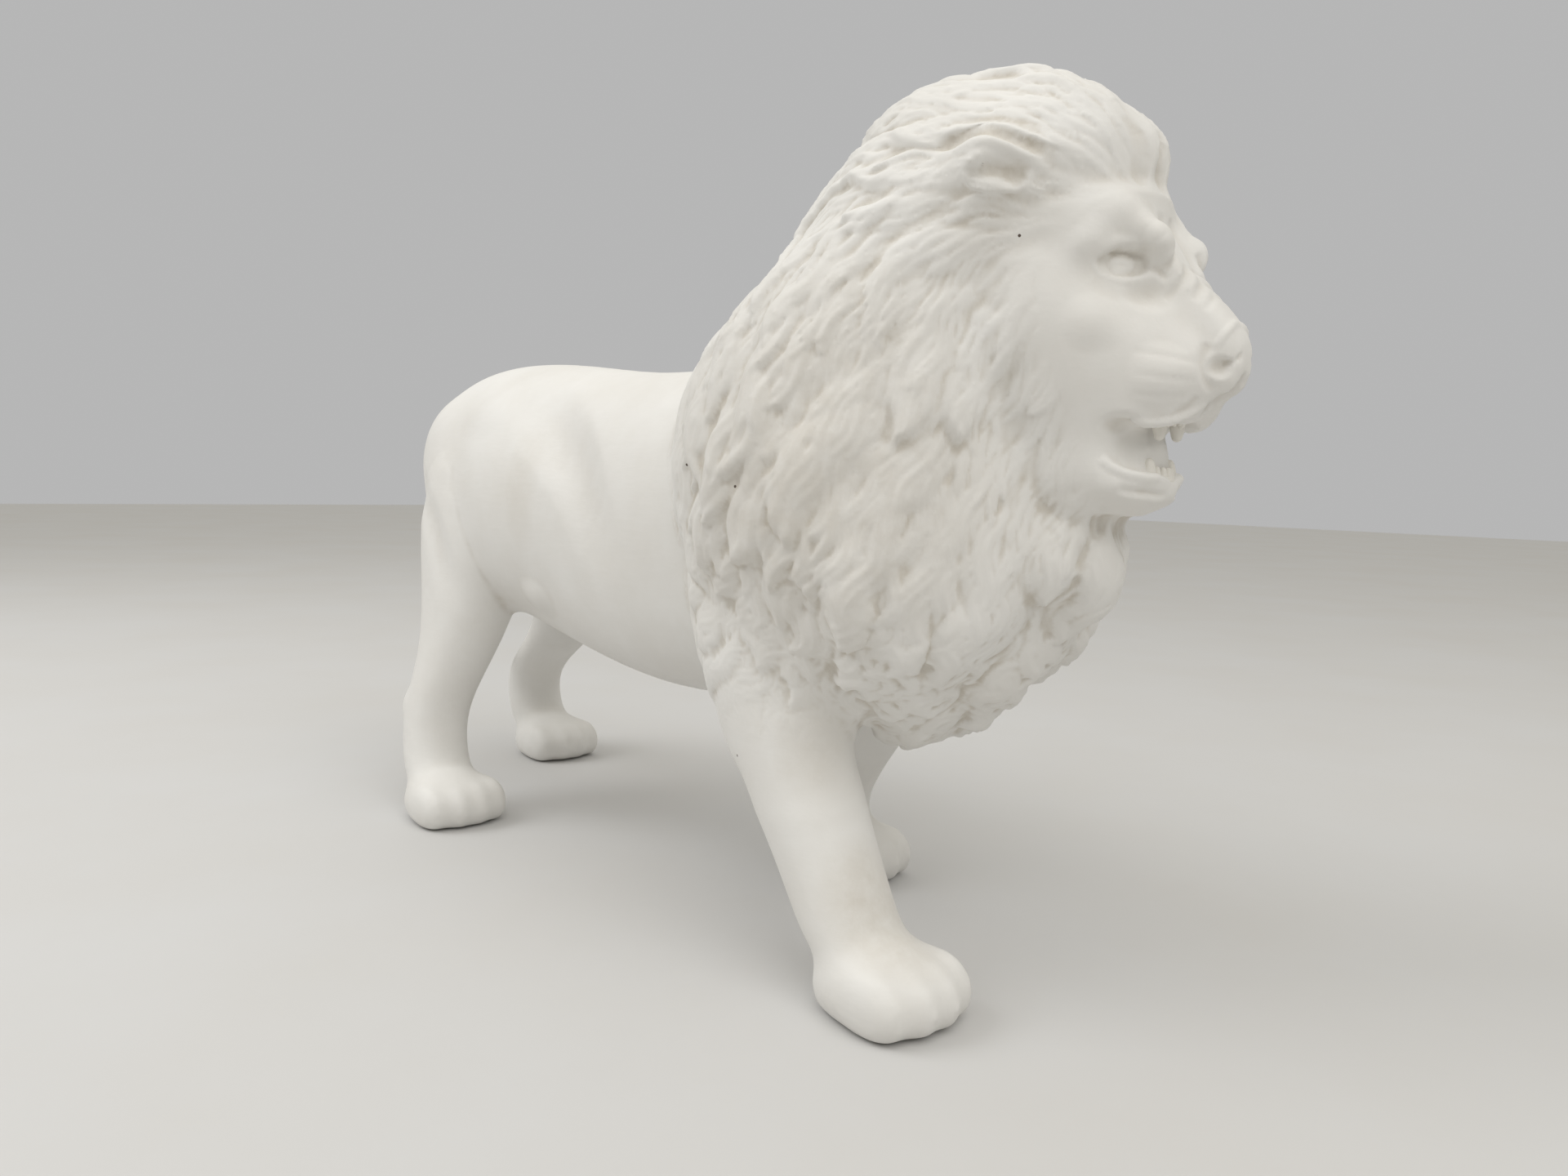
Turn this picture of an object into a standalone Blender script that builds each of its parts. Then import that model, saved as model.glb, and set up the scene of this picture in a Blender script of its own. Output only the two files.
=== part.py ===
"""Standing lion figure: a toy wild animal, moulded in parts and painted white.

The lion faces +X, its left side is +Y and it stands on z = 0.  The body and the mane
are left and right half shells that meet on the middle plane.  The head with the upper
jaw, the lower jaw, both rows of teeth, the four legs and the tail plug into them.
"""

import math

import bmesh
import bpy
from mathutils import Matrix, Vector

FIGURE_NAME = "lion_figure"

# Walls, gaps and joints, in metres like every length here
WALL = 0.0028
GLUE_GAP = 0.0003
CUT_OVERRUN = 0.020
MERGE_DISTANCE = 0.00003
PIN_RADIUS = 0.0018
PIN_LENGTH = 0.0060
POST_RADIUS = 0.0042
POST_REACH_SHARE = 0.94
LEG_SPIGOT_RADIUS = 0.0055
LEG_SPIGOT_LENGTH = 0.0170
NECK_PLUG_RADIUS = 0.0080
NECK_PLUG_HEAD_SHARE = 0.26
NECK_PLUG_ALONG_SHARE = 0.84
NECK_PLUG_RISE_SHARE = 0.50

# Trunk, along X from the rump to the neck; its axis stands at the standing height
STANDING_HEIGHT = 0.096
TRUNK_REAR_X = -0.121
TRUNK_LENGTH = 0.215
TRUNK_FRONT_X = TRUNK_REAR_X + TRUNK_LENGTH
TRUNK_HALF_WIDTH = 0.035
BACK_RISE = 0.043
BELLY_DROP = 0.044
# along, axis rise, half width, rise, drop, squareness
TRUNK_RING_SHARES = (
    (0.020, 0.22, 0.40, 0.36, 0.42, 2.0),
    (0.080, 0.18, 0.76, 0.74, 0.74, 2.1),
    (0.180, 0.14, 0.94, 0.93, 0.88, 2.2),
    (0.300, 0.10, 0.97, 0.98, 0.93, 2.2),
    (0.430, 0.04, 0.91, 0.97, 1.02, 2.2),
    (0.560, -0.03, 0.93, 0.96, 1.06, 2.2),
    (0.700, -0.07, 0.98, 1.00, 1.05, 2.2),
    (0.840, -0.03, 0.96, 1.00, 0.96, 2.2),
    (0.950, 0.00, 0.80, 0.84, 0.76, 2.1),
)
TRUNK_POST_SHARES = (0.14, 0.44, 0.68)

# Mane, a tall shell round the neck, chest and skull
MANE_BASE_SHARE = 0.49
MANE_BASE_Z = STANDING_HEIGHT * MANE_BASE_SHARE
MANE_HEIGHT = 0.142
MANE_AHEAD = 0.004
MANE_CENTRE_X = TRUNK_FRONT_X + MANE_AHEAD
MANE_LEAN = 0.014
MANE_HALF_WIDTH = 0.044
MANE_FRONT = 0.050
MANE_BACK = 0.060
MANE_LOCK_DEPTH = 0.0013
MANE_LOCKS = 6
MANE_LOCK_TURN = math.radians(200)
# height, lean, half width, front, back, squareness behind
MANE_RING_SHARES = (
    (0.015, 0.00, 0.18, 0.12, 0.12, 2.0),
    (0.065, 0.00, 0.42, 0.26, 0.34, 2.1),
    (0.130, -0.10, 0.70, 0.50, 0.58, 2.3),
    (0.220, -0.26, 0.90, 0.75, 0.80, 2.6),
    (0.330, -0.42, 0.98, 0.89, 0.88, 2.8),
    (0.445, -0.50, 1.00, 0.88, 0.92, 2.8),
    (0.560, -0.54, 0.99, 0.84, 0.92, 2.5),
    (0.670, -0.30, 0.90, 0.78, 0.68, 2.2),
    (0.770, 0.10, 0.76, 0.88, 0.49, 2.1),
    (0.860, 0.42, 0.63, 0.94, 0.42, 2.0),
    (0.930, 0.58, 0.50, 0.74, 0.35, 2.0),
    (0.980, 0.86, 0.33, 0.42, 0.25, 2.0),
)
MANE_POST_HEIGHT_SHARE = 0.84

# Head, turned a little to the lion's left about the neck
NECK_AHEAD = 0.016
NECK_X = TRUNK_FRONT_X + NECK_AHEAD
HEAD_HEIGHT_SHARE = 0.662
HEAD_Z = MANE_BASE_Z + MANE_HEIGHT * HEAD_HEIGHT_SHARE
HEAD_TURN = math.radians(10)
FACE_LENGTH = 0.053
FACE_HALF_WIDTH = 0.026
BROW_RISE = 0.021
CHEEK_DROP = 0.036
# along, axis rise, half width, rise, drop, squareness
HEAD_RING_SHARES = (
    (0.06, 0.00, 0.88, 0.86, 0.90, 2.1),
    (0.26, 0.02, 1.00, 0.96, 1.00, 2.2),
    (0.47, 0.00, 0.98, 0.80, 0.92, 2.2),
    (0.58, -0.06, 0.92, 0.74, 0.74, 2.3),
    (0.67, -0.20, 0.84, 0.70, 0.56, 2.3),
    (0.80, -0.42, 0.62, 0.52, 0.40, 2.4),
    (0.92, -0.54, 0.48, 0.40, 0.26, 2.4),
    (0.98, -0.56, 0.30, 0.24, 0.15, 2.2),
)
# along, aside, rise, then the radii along, aside and up, as shares of the face
BROW_SHARES = (0.65, 0.43, 0.44, 0.12, 0.38, 0.26)
LIP_SHARES = (0.76, 0.26, -0.84, 0.165, 0.36, 0.30)
NOSE_SHARES = (0.935, 0.00, -0.49, 0.085, 0.28, 0.25)
SOCKET_SHARES = (0.72, 0.54, 0.16, 0.09, 0.20, 0.16)
EYE_SHARES = (0.64, 0.48, 0.16, 0.09, 0.20, 0.20)
NOSTRIL_SHARES = (0.985, 0.22, -0.62, 0.030, 0.10, 0.11)

# Ears, half sunk in the mane beside the forehead
EAR_AHEAD = 0.018
EAR_ASIDE = 0.0225
EAR_RISE = 0.023
EAR_THICKNESS = 0.0060
EAR_WIDTH = 0.0075
EAR_HEIGHT = 0.0085
EAR_HOLLOW_SHARE = 0.62

# Lower jaw, below the open mouth, with the tongue in it
JAW_BELOW_HEAD = 0.034
JAW_Z = HEAD_Z - JAW_BELOW_HEAD
JAW_LENGTH = 0.041
JAW_HALF_WIDTH = 0.0165
JAW_RISE = 0.0055
JAW_DROP = 0.0075
JAW_RING_SHARES = (
    (0.30, 0.00, 1.00, 1.10, 1.00, 2.2),
    (0.55, 0.00, 0.98, 1.10, 0.98, 2.2),
    (0.75, 0.00, 0.86, 0.84, 0.86, 2.3),
    (0.90, 0.00, 0.66, 0.50, 0.72, 2.4),
    (0.97, 0.00, 0.40, 0.28, 0.44, 2.3),
)
TONGUE_ALONG_SHARE = 0.64
TONGUE_RISE_SHARE = 0.84
TONGUE_LENGTH = 0.0065
TONGUE_HALF_WIDTH = 0.0065
TONGUE_THICKNESS = 0.0035

# Teeth, incisors between two canines on a gum plate sunk in each jaw
LOWER_GUM_ALONG = 0.0350
GUM_LENGTH = 0.0050
GUM_HALF_WIDTH = 0.0070
GUM_THICKNESS = 0.0030
LOWER_GUM_RISE = 0.0020
LOWER_GUM_Z = JAW_Z + LOWER_GUM_RISE
UPPER_GUM_ALONG = 0.0410
UPPER_GUM_DROP = 0.0235
UPPER_GUM_Z = HEAD_Z - UPPER_GUM_DROP
CANINE_RADIUS = 0.0017
CANINE_HEIGHT = 0.0035
INCISOR_RADIUS = 0.0011
INCISOR_HEIGHT = 0.0018
INCISORS = 4
TOOTH_TIP_SHARE = 0.30

# Paws, the same four times
PAW_LENGTH = 0.033
PAW_HALF_WIDTH = 0.0140
PAW_HEIGHT = 0.017
PAD_SET_BACK_SHARE = 0.08
PAD_SHARES = (0.46, 0.96, 0.62)
PAD_Z_SHARE = 0.32
TOES = 4
TOE_SHARES = (0.29, 0.31, 0.44)
TOE_Z_SHARE = 0.34
TOE_SET_BACK_SHARE = 0.035

# Legs: where each starts, and how far its hock is set back
HIP_RISE = 0.004
HIP_Z = STANDING_HEIGHT + HIP_RISE
LEG_SPIGOT_DROP = 0.026
LEG_SPIGOT_Z = STANDING_HEIGHT - LEG_SPIGOT_DROP
LEG_HALF_WIDTH = 0.0135
LEG_HALF_DEPTH = 0.0150
ANKLE_BACK = 0.011
FRONT_HIP_BACK = 0.022
FRONT_HIP_X = TRUNK_FRONT_X - FRONT_HIP_BACK
FRONT_HIP_Y = 0.0245
REAR_HIP_AHEAD = 0.047
REAR_HIP_X = TRUNK_REAR_X + REAR_HIP_AHEAD
REAR_HIP_Y = 0.0210
REAR_RIGHT_HOCK_BACK = 0.004
REAR_LEFT_HOCK_BACK = 0.009
LEG_SQUARENESS = 2.1
# how far a foot stands ahead of its hip, and how far to the left
FRONT_RIGHT_STEP = (0.042, -0.0260)
FRONT_LEFT_STEP = (-0.024, 0.0280)
REAR_RIGHT_STEP = (0.012, -0.0345)
REAR_LEFT_STEP = (-0.043, 0.0335)
# height, way from hip (0) to ankle (1) and foot (2), hock, half width, fore, aft
FRONT_LEG_SHARES = (
    (1.08, 0.00, 0.0, 0.72, 1.10, 1.20),
    (0.92, 0.00, 0.0, 0.92, 1.50, 1.60),
    (0.74, 0.04, 0.0, 0.98, 1.45, 1.55),
    (0.58, 0.20, 0.0, 0.96, 1.05, 1.50),
    (0.42, 0.50, 0.0, 0.85, 0.80, 1.24),
    (0.28, 0.78, 0.0, 0.78, 0.68, 1.02),
    (0.17, 0.96, 0.0, 0.78, 0.68, 0.84),
    (0.08, 1.50, 0.0, 0.86, 0.74, 0.74),
)
REAR_LEG_SHARES = (
    (1.16, 0.00, 0.0, 0.80, 1.20, 1.00),
    (0.98, 0.00, 0.0, 1.08, 1.75, 1.55),
    (0.80, 0.02, 0.0, 1.10, 1.65, 1.50),
    (0.62, 0.18, 0.0, 0.98, 1.22, 1.10),
    (0.48, 0.46, 0.3, 0.84, 0.86, 0.78),
    (0.36, 0.76, 0.9, 0.76, 0.66, 0.70),
    (0.28, 0.88, 1.0, 0.72, 0.60, 0.68),
    (0.18, 0.96, 0.6, 0.72, 0.62, 0.62),
    (0.08, 1.50, 0.2, 0.84, 0.70, 0.74),
)

# Tail, hanging behind the rump with a tuft at its end
TAIL_ROOT_RISE = 0.023
TAIL_ROOT_Z = STANDING_HEIGHT + TAIL_ROOT_RISE
TAIL_PLUG_DEPTH = 0.012
TAIL_RADIUS = 0.0046
TAIL_DROP = 0.078
TAIL_REACH = 0.020
TAIL_SIDE = 0.010
# reach, side, drop, thickness
TAIL_POINT_SHARES = (
    (-0.30, 0.00, 0.00, 1.00),
    (0.45, 0.02, 0.03, 1.00),
    (0.95, 0.15, 0.18, 0.90),
    (1.00, 0.45, 0.42, 0.80),
    (0.80, 0.80, 0.66, 0.78),
    (0.62, 0.95, 0.78, 1.45),
    (0.52, 1.00, 0.90, 1.35),
    (0.46, 1.00, 1.00, 0.30),
)
TAIL_STEPS = 3

# How finely the rounded forms are divided
RING_POINTS = 12
MANE_RING_POINTS = 20
MANE_INNER_POINTS = 12
BALL_SEGMENTS = 10
PIN_SEGMENTS = 10
SMOOTH_LEVELS = 1
SHARP_ANGLE = math.radians(40)

# Paints: base colour, roughness and metallic value
PAINTS = {
    "paint": ((0.80, 0.79, 0.76, 1.0), 0.62, 0.0),
    "mouth": ((0.74, 0.71, 0.65, 1.0), 0.60, 0.0),
    "tooth": ((0.82, 0.80, 0.74, 1.0), 0.50, 0.0),
}


class Workshop:
    """The collections that hold the finished parts and the working shapes."""

    def __init__(self):
        scene_root = bpy.context.scene.collection
        self.parts = bpy.data.collections.new(FIGURE_NAME)
        self.cutters = bpy.data.collections.new("cutters")
        scene_root.children.link(self.parts)
        scene_root.children.link(self.cutters)


def clear_scene():
    """Remove what the scene holds already."""
    for old in list(bpy.data.objects):
        bpy.data.objects.remove(old, do_unlink=True)


clear_scene()
WORKSHOP = Workshop()


def working_object(name, mesh):
    """Put a mesh in the cutters' collection as a working shape."""
    made = bpy.data.objects.new(name, mesh)
    made.hide_render = True
    made.display_type = "WIRE"
    WORKSHOP.cutters.objects.link(made)
    return made


def object_from_bmesh(shape, name):
    """Turn a bmesh into a working shape, its faces pointing out."""
    bmesh.ops.recalc_face_normals(shape, faces=shape.faces[:])
    mesh = bpy.data.meshes.new(name)
    shape.to_mesh(mesh)
    shape.free()
    return working_object(name, mesh)


def apply_modifiers(thing):
    """Replace the object's mesh by its evaluated one."""
    depsgraph = bpy.context.evaluated_depsgraph_get()
    evaluated = thing.evaluated_get(depsgraph)
    mesh = bpy.data.meshes.new_from_object(evaluated)
    thing.modifiers.clear()
    thing.data = mesh
    return thing


def split_wide_faces(thing):
    """Split the faces with more than four corners into triangles."""
    shape = bmesh.new()
    shape.from_mesh(thing.data)
    wide = [face for face in shape.faces if len(face.verts) > 4]
    bmesh.ops.triangulate(shape, faces=wide)
    shape.to_mesh(thing.data)
    shape.free()


def combine(target, tool, operation):
    """Join, cut or intersect the target with the tool, which is used up."""
    modifier = target.modifiers.new(operation, "BOOLEAN")
    modifier.operation = operation
    modifier.solver = "EXACT"
    modifier.object = tool
    apply_modifiers(target)
    split_wide_faces(target)
    bpy.data.objects.remove(tool, do_unlink=True)
    return target


def join(target, *tools):
    """Fuse the tools to the target."""
    for tool in tools:
        combine(target, tool, "UNION")
    return target


def cut(target, *tools):
    """Cut the tools out of the target."""
    for tool in tools:
        combine(target, tool, "DIFFERENCE")
    return target


def ring(centre, across, upward, half_width, above, below, squareness):
    """One closed section: a superellipse with unlike upper and lower halves."""
    points = []
    power = 2 / squareness
    for index in range(RING_POINTS):
        angle = 2 * math.pi * index / RING_POINTS
        side, rise = math.cos(angle), math.sin(angle)
        aside = math.copysign(abs(side) ** power, side) * half_width
        height = above if rise > 0 else below
        lift = math.copysign(abs(rise) ** power, rise) * height
        points.append(centre + across * aside + upward * lift)
    return points


def loft(name, rings, start, end, levels=SMOOTH_LEVELS):
    """Skin the rings, close both ends on a point and smooth the cage."""
    shape = bmesh.new()
    rows = [[shape.verts.new(point) for point in row] for row in rings]
    first, last = shape.verts.new(start), shape.verts.new(end)
    count = len(rows[0])
    for here in range(count):
        there = (here + 1) % count
        shape.faces.new((first, rows[0][there], rows[0][here]))
        shape.faces.new((last, rows[-1][here], rows[-1][there]))
        for lower, upper in zip(rows, rows[1:]):
            shape.faces.new((lower[here], lower[there], upper[there], upper[here]))
    made = object_from_bmesh(shape, name)
    smoothing = made.modifiers.new("smooth", "SUBSURF")
    smoothing.levels = levels
    smoothing.render_levels = levels
    return apply_modifiers(made)


def ball(name, centre, radii, turn=0.0):
    """An ellipsoid, turned about the vertical."""
    shape = bmesh.new()
    rows = BALL_SEGMENTS // 2 + 1
    bmesh.ops.create_uvsphere(shape, u_segments=BALL_SEGMENTS, v_segments=rows, radius=1.0)
    turned = Matrix.Translation(centre) @ Matrix.Rotation(turn, 4, "Z")
    placed = turned @ Matrix.Diagonal((*radii, 1.0))
    bmesh.ops.transform(shape, matrix=placed, verts=shape.verts[:])
    return object_from_bmesh(shape, name)


def rod(name, start, end, radius, tip_radius=None):
    """A round rod, or a blunt cone, between two points."""
    shape = bmesh.new()
    run = end - start
    bmesh.ops.create_cone(
        shape,
        cap_ends=True,
        segments=PIN_SEGMENTS,
        radius1=radius,
        radius2=radius if tip_radius is None else tip_radius,
        depth=run.length,
    )
    turned = run.to_track_quat("Z", "Y").to_matrix().to_4x4()
    placed = Matrix.Translation((start + end) / 2) @ turned
    bmesh.ops.transform(shape, matrix=placed, verts=shape.verts[:])
    return object_from_bmesh(shape, name)


def box(name, low, high, turn=0.0):
    """A box between two corners, turned about its own upright axis."""
    shape = bmesh.new()
    bmesh.ops.create_cube(shape, size=1.0)
    low, high = Vector(low), Vector(high)
    turned = Matrix.Translation((low + high) / 2) @ Matrix.Rotation(turn, 4, "Z")
    placed = turned @ Matrix.Diagonal((*(high - low), 1.0))
    bmesh.ops.transform(shape, matrix=placed, verts=shape.verts[:])
    return object_from_bmesh(shape, name)


def share_row(table, place):
    """The row of shares at a place along a table, blended from its neighbours."""
    for row, following in zip(table, table[1:]):
        if place <= following[0]:
            break
    blend = (place - row[0]) / (following[0] - row[0])
    return [low + (high - low) * blend for low, high in zip(row, following)]


def trunk_axis(along_share, lift_share):
    """A point on the trunk's axis."""
    x = TRUNK_REAR_X + TRUNK_LENGTH * along_share
    return Vector((x, 0, STANDING_HEIGHT + BACK_RISE * lift_share))


def trunk_form(grow=0.0):
    """The trunk as a solid, grown or shrunk on all sides."""
    rings = []
    for along, lift, wide, rise, drop, square in TRUNK_RING_SHARES:
        centre = trunk_axis(along, lift) + Vector((grow * (2 * along - 1), 0, 0))
        half_width = TRUNK_HALF_WIDTH * wide + grow
        above = BACK_RISE * rise + grow
        below = BELLY_DROP * drop + grow
        across, upward = Vector((0, 1, 0)), Vector((0, 0, 1))
        rings.append(ring(centre, across, upward, half_width, above, below, square))
    start = trunk_axis(0, TRUNK_RING_SHARES[0][1]) - Vector((grow, 0, 0))
    end = trunk_axis(1, TRUNK_RING_SHARES[-1][1]) + Vector((grow, 0, 0))
    return loft("trunk_form", rings, start, end)


def mane_axis(height_share, lean_share):
    """A point on the mane's upright axis."""
    x = MANE_CENTRE_X + MANE_LEAN * lean_share
    return Vector((x, 0, MANE_BASE_Z + MANE_HEIGHT * height_share))


def mane_ring(centre, half_width, front, back, squareness, lock_depth, turn, count):
    """One level section of the mane, rippled alike on both sides by its locks."""
    points = []
    for index in range(count):
        angle = 2 * math.pi * index / count
        fore, side = math.cos(angle), math.sin(angle)
        power = 1.0 if fore > 0 else 2 / squareness
        from_front = math.acos(max(-1.0, min(1.0, fore)))
        ripple = lock_depth * math.cos(MANE_LOCKS * from_front + turn)
        reach = (front if fore > 0 else back) + ripple
        x = math.copysign(abs(fore) ** power, fore) * reach
        y = math.copysign(abs(side) ** power, side) * (half_width + ripple)
        points.append(centre + Vector((x, y, 0)))
    return points


def mane_form(grow=0.0, lock_depth=MANE_LOCK_DEPTH, count=MANE_RING_POINTS):
    """The mane as a solid, grown or shrunk on all sides."""
    rings = []
    for height, lean, wide, front, back, square in MANE_RING_SHARES:
        centre = mane_axis(height, lean) + Vector((0, 0, grow * (2 * height - 1)))
        half_width = MANE_HALF_WIDTH * wide + grow
        depths = MANE_FRONT * front + grow, MANE_BACK * back + grow
        turn = MANE_LOCK_TURN * height
        ripple = lock_depth * wide
        rings.append(mane_ring(centre, half_width, *depths, square, ripple, turn, count))
    base = mane_axis(0, MANE_RING_SHARES[0][1]) - Vector((0, 0, grow))
    crown = mane_axis(1, MANE_RING_SHARES[-1][1]) + Vector((0, 0, grow))
    return loft("mane_form", rings, base, crown)


def head_point(along, aside, z):
    """A point placed from the neck, along and beside the head's own axis."""
    forward = Vector((math.cos(HEAD_TURN), math.sin(HEAD_TURN), 0))
    leftward = Vector((-math.sin(HEAD_TURN), math.cos(HEAD_TURN), 0))
    return Vector((NECK_X, 0, z)) + forward * along + leftward * aside


def head_loft(name, table, z, sizes, grow):
    """A loft along the head's axis, from a table of shares and its four sizes."""
    length, half_width, rise, drop = sizes
    leftward = head_point(0, 1, 0) - head_point(0, 0, 0)
    rings = []
    for along, lift, wide, above, below, square in table:
        centre = head_point(length * along + grow * (2 * along - 1), 0, z + rise * lift)
        width = half_width * wide + grow
        heights = rise * above + grow, drop * below + grow
        rings.append(ring(centre, leftward, Vector((0, 0, 1)), width, *heights, square))
    start = head_point(length * table[0][0] / 2 - grow, 0, z + rise * table[0][1])
    end = head_point(length + grow, 0, z + rise * table[-1][1])
    return loft(name, rings, start, end)


def face_ball(name, shares, side, grow=0.0):
    """A lump of the face, from shares of the face's sizes."""
    along, aside, lift, long_radius, wide_radius, high_radius = shares
    offset = side * FACE_HALF_WIDTH * aside
    centre = head_point(FACE_LENGTH * along, offset, HEAD_Z + BROW_RISE * lift)
    radii = (
        FACE_LENGTH * long_radius + grow,
        FACE_HALF_WIDTH * wide_radius + grow,
        BROW_RISE * high_radius + grow,
    )
    return ball(name, centre, radii, HEAD_TURN)


def head_form(grow=0.0):
    """The head with the upper jaw, without its eyes and nostrils."""
    sizes = (FACE_LENGTH, FACE_HALF_WIDTH, BROW_RISE, CHEEK_DROP)
    head = head_loft("head_form", HEAD_RING_SHARES, HEAD_Z, sizes, grow)
    for side in (-1, 1):
        for shares in (BROW_SHARES, LIP_SHARES):
            join(head, face_ball("lump", shares, side, grow))
    return join(head, face_ball("nose", NOSE_SHARES, 0, grow))


def jaw_form(grow=0.0):
    """The lower jaw with the tongue as a solid."""
    sizes = (JAW_LENGTH, JAW_HALF_WIDTH, JAW_RISE, JAW_DROP)
    jaw = head_loft("jaw_form", JAW_RING_SHARES, JAW_Z, sizes, grow)
    centre = head_point(JAW_LENGTH * TONGUE_ALONG_SHARE, 0, JAW_Z + JAW_RISE * TONGUE_RISE_SHARE)
    radii = (TONGUE_LENGTH + grow, TONGUE_HALF_WIDTH + grow, TONGUE_THICKNESS + grow)
    return join(jaw, ball("tongue", centre, radii, HEAD_TURN))


def gum_plate(along, z, grow=0.0):
    """The plate that carries a row of teeth."""
    centre = head_point(along, 0, z)
    half = Vector((GUM_LENGTH / 2 + grow, GUM_HALF_WIDTH + grow, GUM_THICKNESS / 2 + grow))
    return box("gum", centre - half, centre + half, HEAD_TURN)


def tooth(along, aside, z, radius, height):
    """One tooth, a blunt cone that starts inside the gum plate."""
    start = head_point(along, aside, z)
    end = head_point(along, aside, z + height)
    return rod("tooth", start, end, radius, radius * TOOTH_TIP_SHARE)


def make_teeth(along, z, upward):
    """A row of incisors between two canines on a gum plate."""
    row = gum_plate(along, z)
    canine_side = GUM_HALF_WIDTH - CANINE_RADIUS
    plate_half = GUM_THICKNESS / 2
    for side in (-1, 1):
        height = upward * (plate_half + CANINE_HEIGHT)
        join(row, tooth(along, side * canine_side, z, CANINE_RADIUS, height))
    step = 2 * (canine_side - CANINE_RADIUS) / INCISORS
    front = along + GUM_LENGTH / 2 - INCISOR_RADIUS * 2
    for index in range(INCISORS):
        aside = (index - (INCISORS - 1) / 2) * step
        height = upward * (plate_half + INCISOR_HEIGHT)
        join(row, tooth(front, aside, z, INCISOR_RADIUS, height))
    return row


def neck_plug(grow=0.0):
    """The plug behind the head that enters the front of the trunk."""
    start = head_point(FACE_LENGTH * NECK_PLUG_HEAD_SHARE, 0, HEAD_Z)
    trunk_front = trunk_axis(NECK_PLUG_ALONG_SHARE, NECK_PLUG_RISE_SHARE)
    direction = (trunk_front - start).normalized()
    end = trunk_front + direction * grow
    return rod("neck_plug", start, end, NECK_PLUG_RADIUS + grow)


def leg_rings(hip, foot, hock_back, table):
    """The level sections of a leg, from the hip down to the paw."""
    rings = []
    ankle_x = foot[0] - ANKLE_BACK
    for height, way, hock, wide, fore, aft in table:
        down, onward = min(way, 1), max(way - 1, 0)
        x = hip[0] + (ankle_x - hip[0]) * down + ANKLE_BACK * onward - hock_back * hock
        y = hip[1] + (foot[1] - hip[1]) * down
        centre = Vector((x, y, HIP_Z * height))
        half_width = LEG_HALF_WIDTH * wide
        depths = LEG_HALF_DEPTH * fore, LEG_HALF_DEPTH * aft
        across, forward = Vector((0, 1, 0)), Vector((1, 0, 0))
        rings.append(ring(centre, across, forward, half_width, *depths, LEG_SQUARENESS))
    return rings


def add_paw(leg, foot):
    """Join the paw and its toes to the leg and cut the sole flat."""
    foot_x, foot_y = foot
    sizes = (PAW_LENGTH, PAW_HALF_WIDTH, PAW_HEIGHT)
    pad_x = foot_x - PAW_LENGTH * PAD_SET_BACK_SHARE
    pad_centre = Vector((pad_x, foot_y, PAW_HEIGHT * PAD_Z_SHARE))
    join(leg, ball("pad", pad_centre, [size * share for size, share in zip(sizes, PAD_SHARES)]))
    toe_radii = [size * share for size, share in zip(sizes, TOE_SHARES)]
    toe_step = 2 * (PAW_HALF_WIDTH - toe_radii[1]) / (TOES - 1)
    for toe in range(TOES):
        from_middle = toe - (TOES - 1) / 2
        set_back = PAW_LENGTH * TOE_SET_BACK_SHARE * from_middle ** 2
        toe_x = foot_x + PAW_LENGTH / 2 - toe_radii[0] - set_back
        centre = Vector((toe_x, foot_y + from_middle * toe_step, PAW_HEIGHT * TOE_Z_SHARE))
        join(leg, ball("toe", centre, toe_radii))
    low = (foot_x - PAW_LENGTH, foot_y - PAW_LENGTH, -CUT_OVERRUN)
    high = (foot_x + PAW_LENGTH, foot_y + PAW_LENGTH, 0)
    return cut(leg, box("floor", low, high))


def leg_spigot(hip, grow=0.0):
    """The round spigot that carries a leg in the side of the trunk."""
    side = math.copysign(1, hip[1])
    outer_y = side * (abs(hip[1]) + LEG_HALF_WIDTH / 2)
    start = Vector((hip[0], outer_y, LEG_SPIGOT_Z))
    end = start - Vector((0, side * (LEG_SPIGOT_LENGTH + grow), 0))
    return rod("leg_spigot", start, end, LEG_SPIGOT_RADIUS + grow)


def make_leg(hip, step, hock_back, table):
    """A leg with its paw and the spigot that plugs into the trunk."""
    foot = hip[0] + step[0], step[1]
    rings = leg_rings(hip, foot, hock_back, table)
    middle = RING_POINTS // 2
    top = (rings[0][0] + rings[0][middle]) / 2
    low = (rings[-1][0] + rings[-1][middle]) / 2
    leg = loft("leg", rings, top, low)
    add_paw(leg, foot)
    cut(leg, trunk_form(GLUE_GAP), mane_form(GLUE_GAP))
    return join(leg, leg_spigot(hip))


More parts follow.
